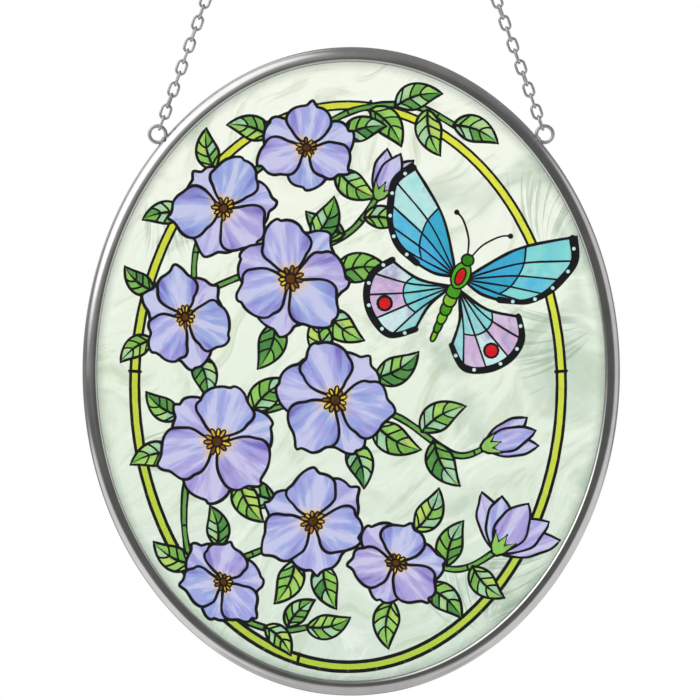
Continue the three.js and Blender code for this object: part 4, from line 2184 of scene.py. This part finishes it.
@dataclass
class Studio:
    """A pale floor, soft light all round, and a camera at the photograph's angle, in metres and degrees."""

    middle: Vector = field(default_factory=lambda: box_middle("metal_rim"))
    camera_distance: float = 2.2
    sensor: float = 36.0
    floor_below: float = 0.9
    floor_size: float = 1.4
    room: tuple[float, float] = (0.34, 0.14)
    behind_glass: float = 1.1
    lamp_place: tuple[float, float, float] = (-1.5, -1.3, 0.9)
    lamp_size: float = 1.1
    lamp_watts: float = 4.0
    boxes: tuple[SoftBox, ...] = (
        SoftBox(around=313, off_axis=62, spread=32, fade=18, level=1.8),
        SoftBox(around=332, off_axis=100, spread=22, fade=16, level=1.0),
        SoftBox(around=312, off_axis=128, spread=27, fade=14, level=0.85),
        SoftBox(around=134, off_axis=128, spread=24, fade=12, level=0.95),
        SoftBox(around=318, off_axis=42, spread=26, fade=40, level=0.5),
        SoftBox(around=217, off_axis=88, spread=44, fade=10, level=1.15),
        SoftBox(around=134, off_axis=82, spread=41, fade=10, level=1.0),
        SoftBox(around=80, off_axis=82, spread=28, fade=12, level=0.92),
        SoftBox(around=180, off_axis=60, spread=33, fade=10, level=0.74),
        SoftBox(around=0, off_axis=70, spread=40, fade=50, level=0.32),
    )

    def camera(self) -> Object:
        """Stands the camera square on to the panel, with a lens that gives one pixel its real size.

        Returns:
            The camera.
        """
        view_width = IMAGE_SIDE_PX * MM_PER_PX * MM
        across = (IMAGE_SIDE_PX / 2 - OVAL_MIDDLE_PX[0]) * MM_PER_PX * MM
        up = (OVAL_MIDDLE_PX[1] - IMAGE_SIDE_PX / 2) * MM_PER_PX * MM
        aim = self.middle + Vector((across, 0, up))
        data = bpy.data.cameras.new("studio_camera")
        data.sensor_width = self.sensor
        data.lens = self.sensor * self.camera_distance / view_width
        data.clip_end = 100.0
        camera = bpy.data.objects.new("studio_camera", data)
        camera.location = aim - Vector((0, self.camera_distance, 0))
        camera.rotation_euler = Euler((math.pi / 2, 0, 0))
        bpy.context.collection.objects.link(camera)
        bpy.context.scene.camera = camera
        return camera

    def floor(self) -> Object:
        """Lays the floor well below the hanging panel.

        Returns:
            The floor.
        """
        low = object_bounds()[0].z - self.floor_below
        bpy.ops.object.select_all(action="DESELECT")
        bpy.ops.mesh.primitive_circle_add(
            vertices=96, radius=self.floor_size / 2, fill_type="NGON", location=(0, 0, low)
        )
        floor = settle(bpy.context.object, "studio_floor")
        floor.data.materials.append(PaintedFloor("matt_white_floor", roughness=0.8).build())
        floor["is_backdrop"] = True
        return floor

    def lamp(self) -> Object:
        """Hangs one square softbox on the left, aimed at the panel.

        Returns:
            The lamp.
        """
        data = bpy.data.lights.new("left_softbox", "AREA")
        data.size = self.lamp_size
        data.energy = self.lamp_watts
        lamp = bpy.data.objects.new("left_softbox", data)
        lamp.location = self.middle + Vector(self.lamp_place)
        lamp.rotation_euler = (-Vector(self.lamp_place)).to_track_quat("-Z", "Y").to_euler()
        lamp.visible_camera = False
        lamp.visible_transmission = False
        bpy.context.collection.objects.link(lamp)
        return lamp

    def surround(self) -> World:
        """Wraps the studio round the panel.

        What is seen straight, or through the glass, is a plain white backdrop, and the whole room lights the
        paint evenly. What polished metal mirrors is the darker room with its soft boxes.

        Returns:
            The world.
        """
        world = bpy.data.worlds.new("studio_surround")
        world.use_nodes = True
        tree = world.node_tree
        tree.nodes.clear()
        way = add_node(tree, "ShaderNodeTexCoord").outputs["Generated"]
        front = add_node(
            tree, "ShaderNodeVectorMath", {"operation": "DOT_PRODUCT"}, {1: (0.0, -1.0, 0.0)}, {0: way}
        )
        room = add_node(
            tree, "ShaderNodeMapRange", {"interpolation_type": "SMOOTHSTEP"},
            values={"From Min": -0.2, "From Max": 0.9, "To Min": self.room[0], "To Max": self.room[1]},
            links={"Value": front.outputs["Value"]},
        )
        level = room.outputs["Result"]
        for box in self.boxes:
            level = box.add(tree, way, level)
        ray = add_node(tree, "ShaderNodeLightPath")
        mirrored = add_node(
            tree, "ShaderNodeMix", {"data_type": "FLOAT"}, values={LEVEL_FROM: 1.0},
            links={"Factor": ray.outputs["Is Glossy Ray"], LEVEL_TO: level},
        )
        seen = add_node(
            tree, "ShaderNodeMix", {"data_type": "FLOAT"},
            values={LEVEL_TO: self.behind_glass},
            links={"Factor": ray.outputs["Is Transmission Ray"], LEVEL_FROM: mirrored.outputs[LEVEL_RESULT]},
        )
        glow = add_node(tree, "ShaderNodeBackground", links={"Strength": seen.outputs[LEVEL_RESULT]})
        glow.inputs["Color"].default_value = (1, 1, 1, 1)
        add_node(tree, "ShaderNodeOutputWorld", links={"Surface": glow.outputs["Background"]})
        bpy.context.scene.world = world
        return world

    def build(self) -> None:
        """Sets up the whole studio."""
        self.camera()
        self.floor()
        self.surround()
        self.lamp()
        bpy.context.scene.view_settings.view_transform = "Standard"


def main() -> None:
    """Builds the suncatcher's looks and the studio round it."""
    logging.basicConfig(level=logging.INFO, format="%(name)s: %(message)s")
    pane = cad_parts["glass_pane"]
    pane.data.materials.clear()
    pane.data.materials.append(ClearGlass("clear_float_glass", roughness=0.0, transmission=1.0).build())
    painted = PaintedPane().build()
    rim = Rim().build()
    wire = PolishedNickel(
        "bright_plated_wire", roughness=0.46, metallic=1.0, colour="#c0c0c0", haze_mm=3.0
    ).build()
    ring = HangingRing(wire)
    pieces = [*painted, rim, ring.build()]
    for side in (-1, 1):
        loop = Loop(side, wire)
        pieces.append(loop.build())
        pieces.append(ChainLeg(side, ring, loop, wire).build())
    for piece in pieces:
        LOG.info("%s: %d faces", piece.name, len(piece.data.polygons))
    Studio().build()


if __name__ == "__main__":
    main()
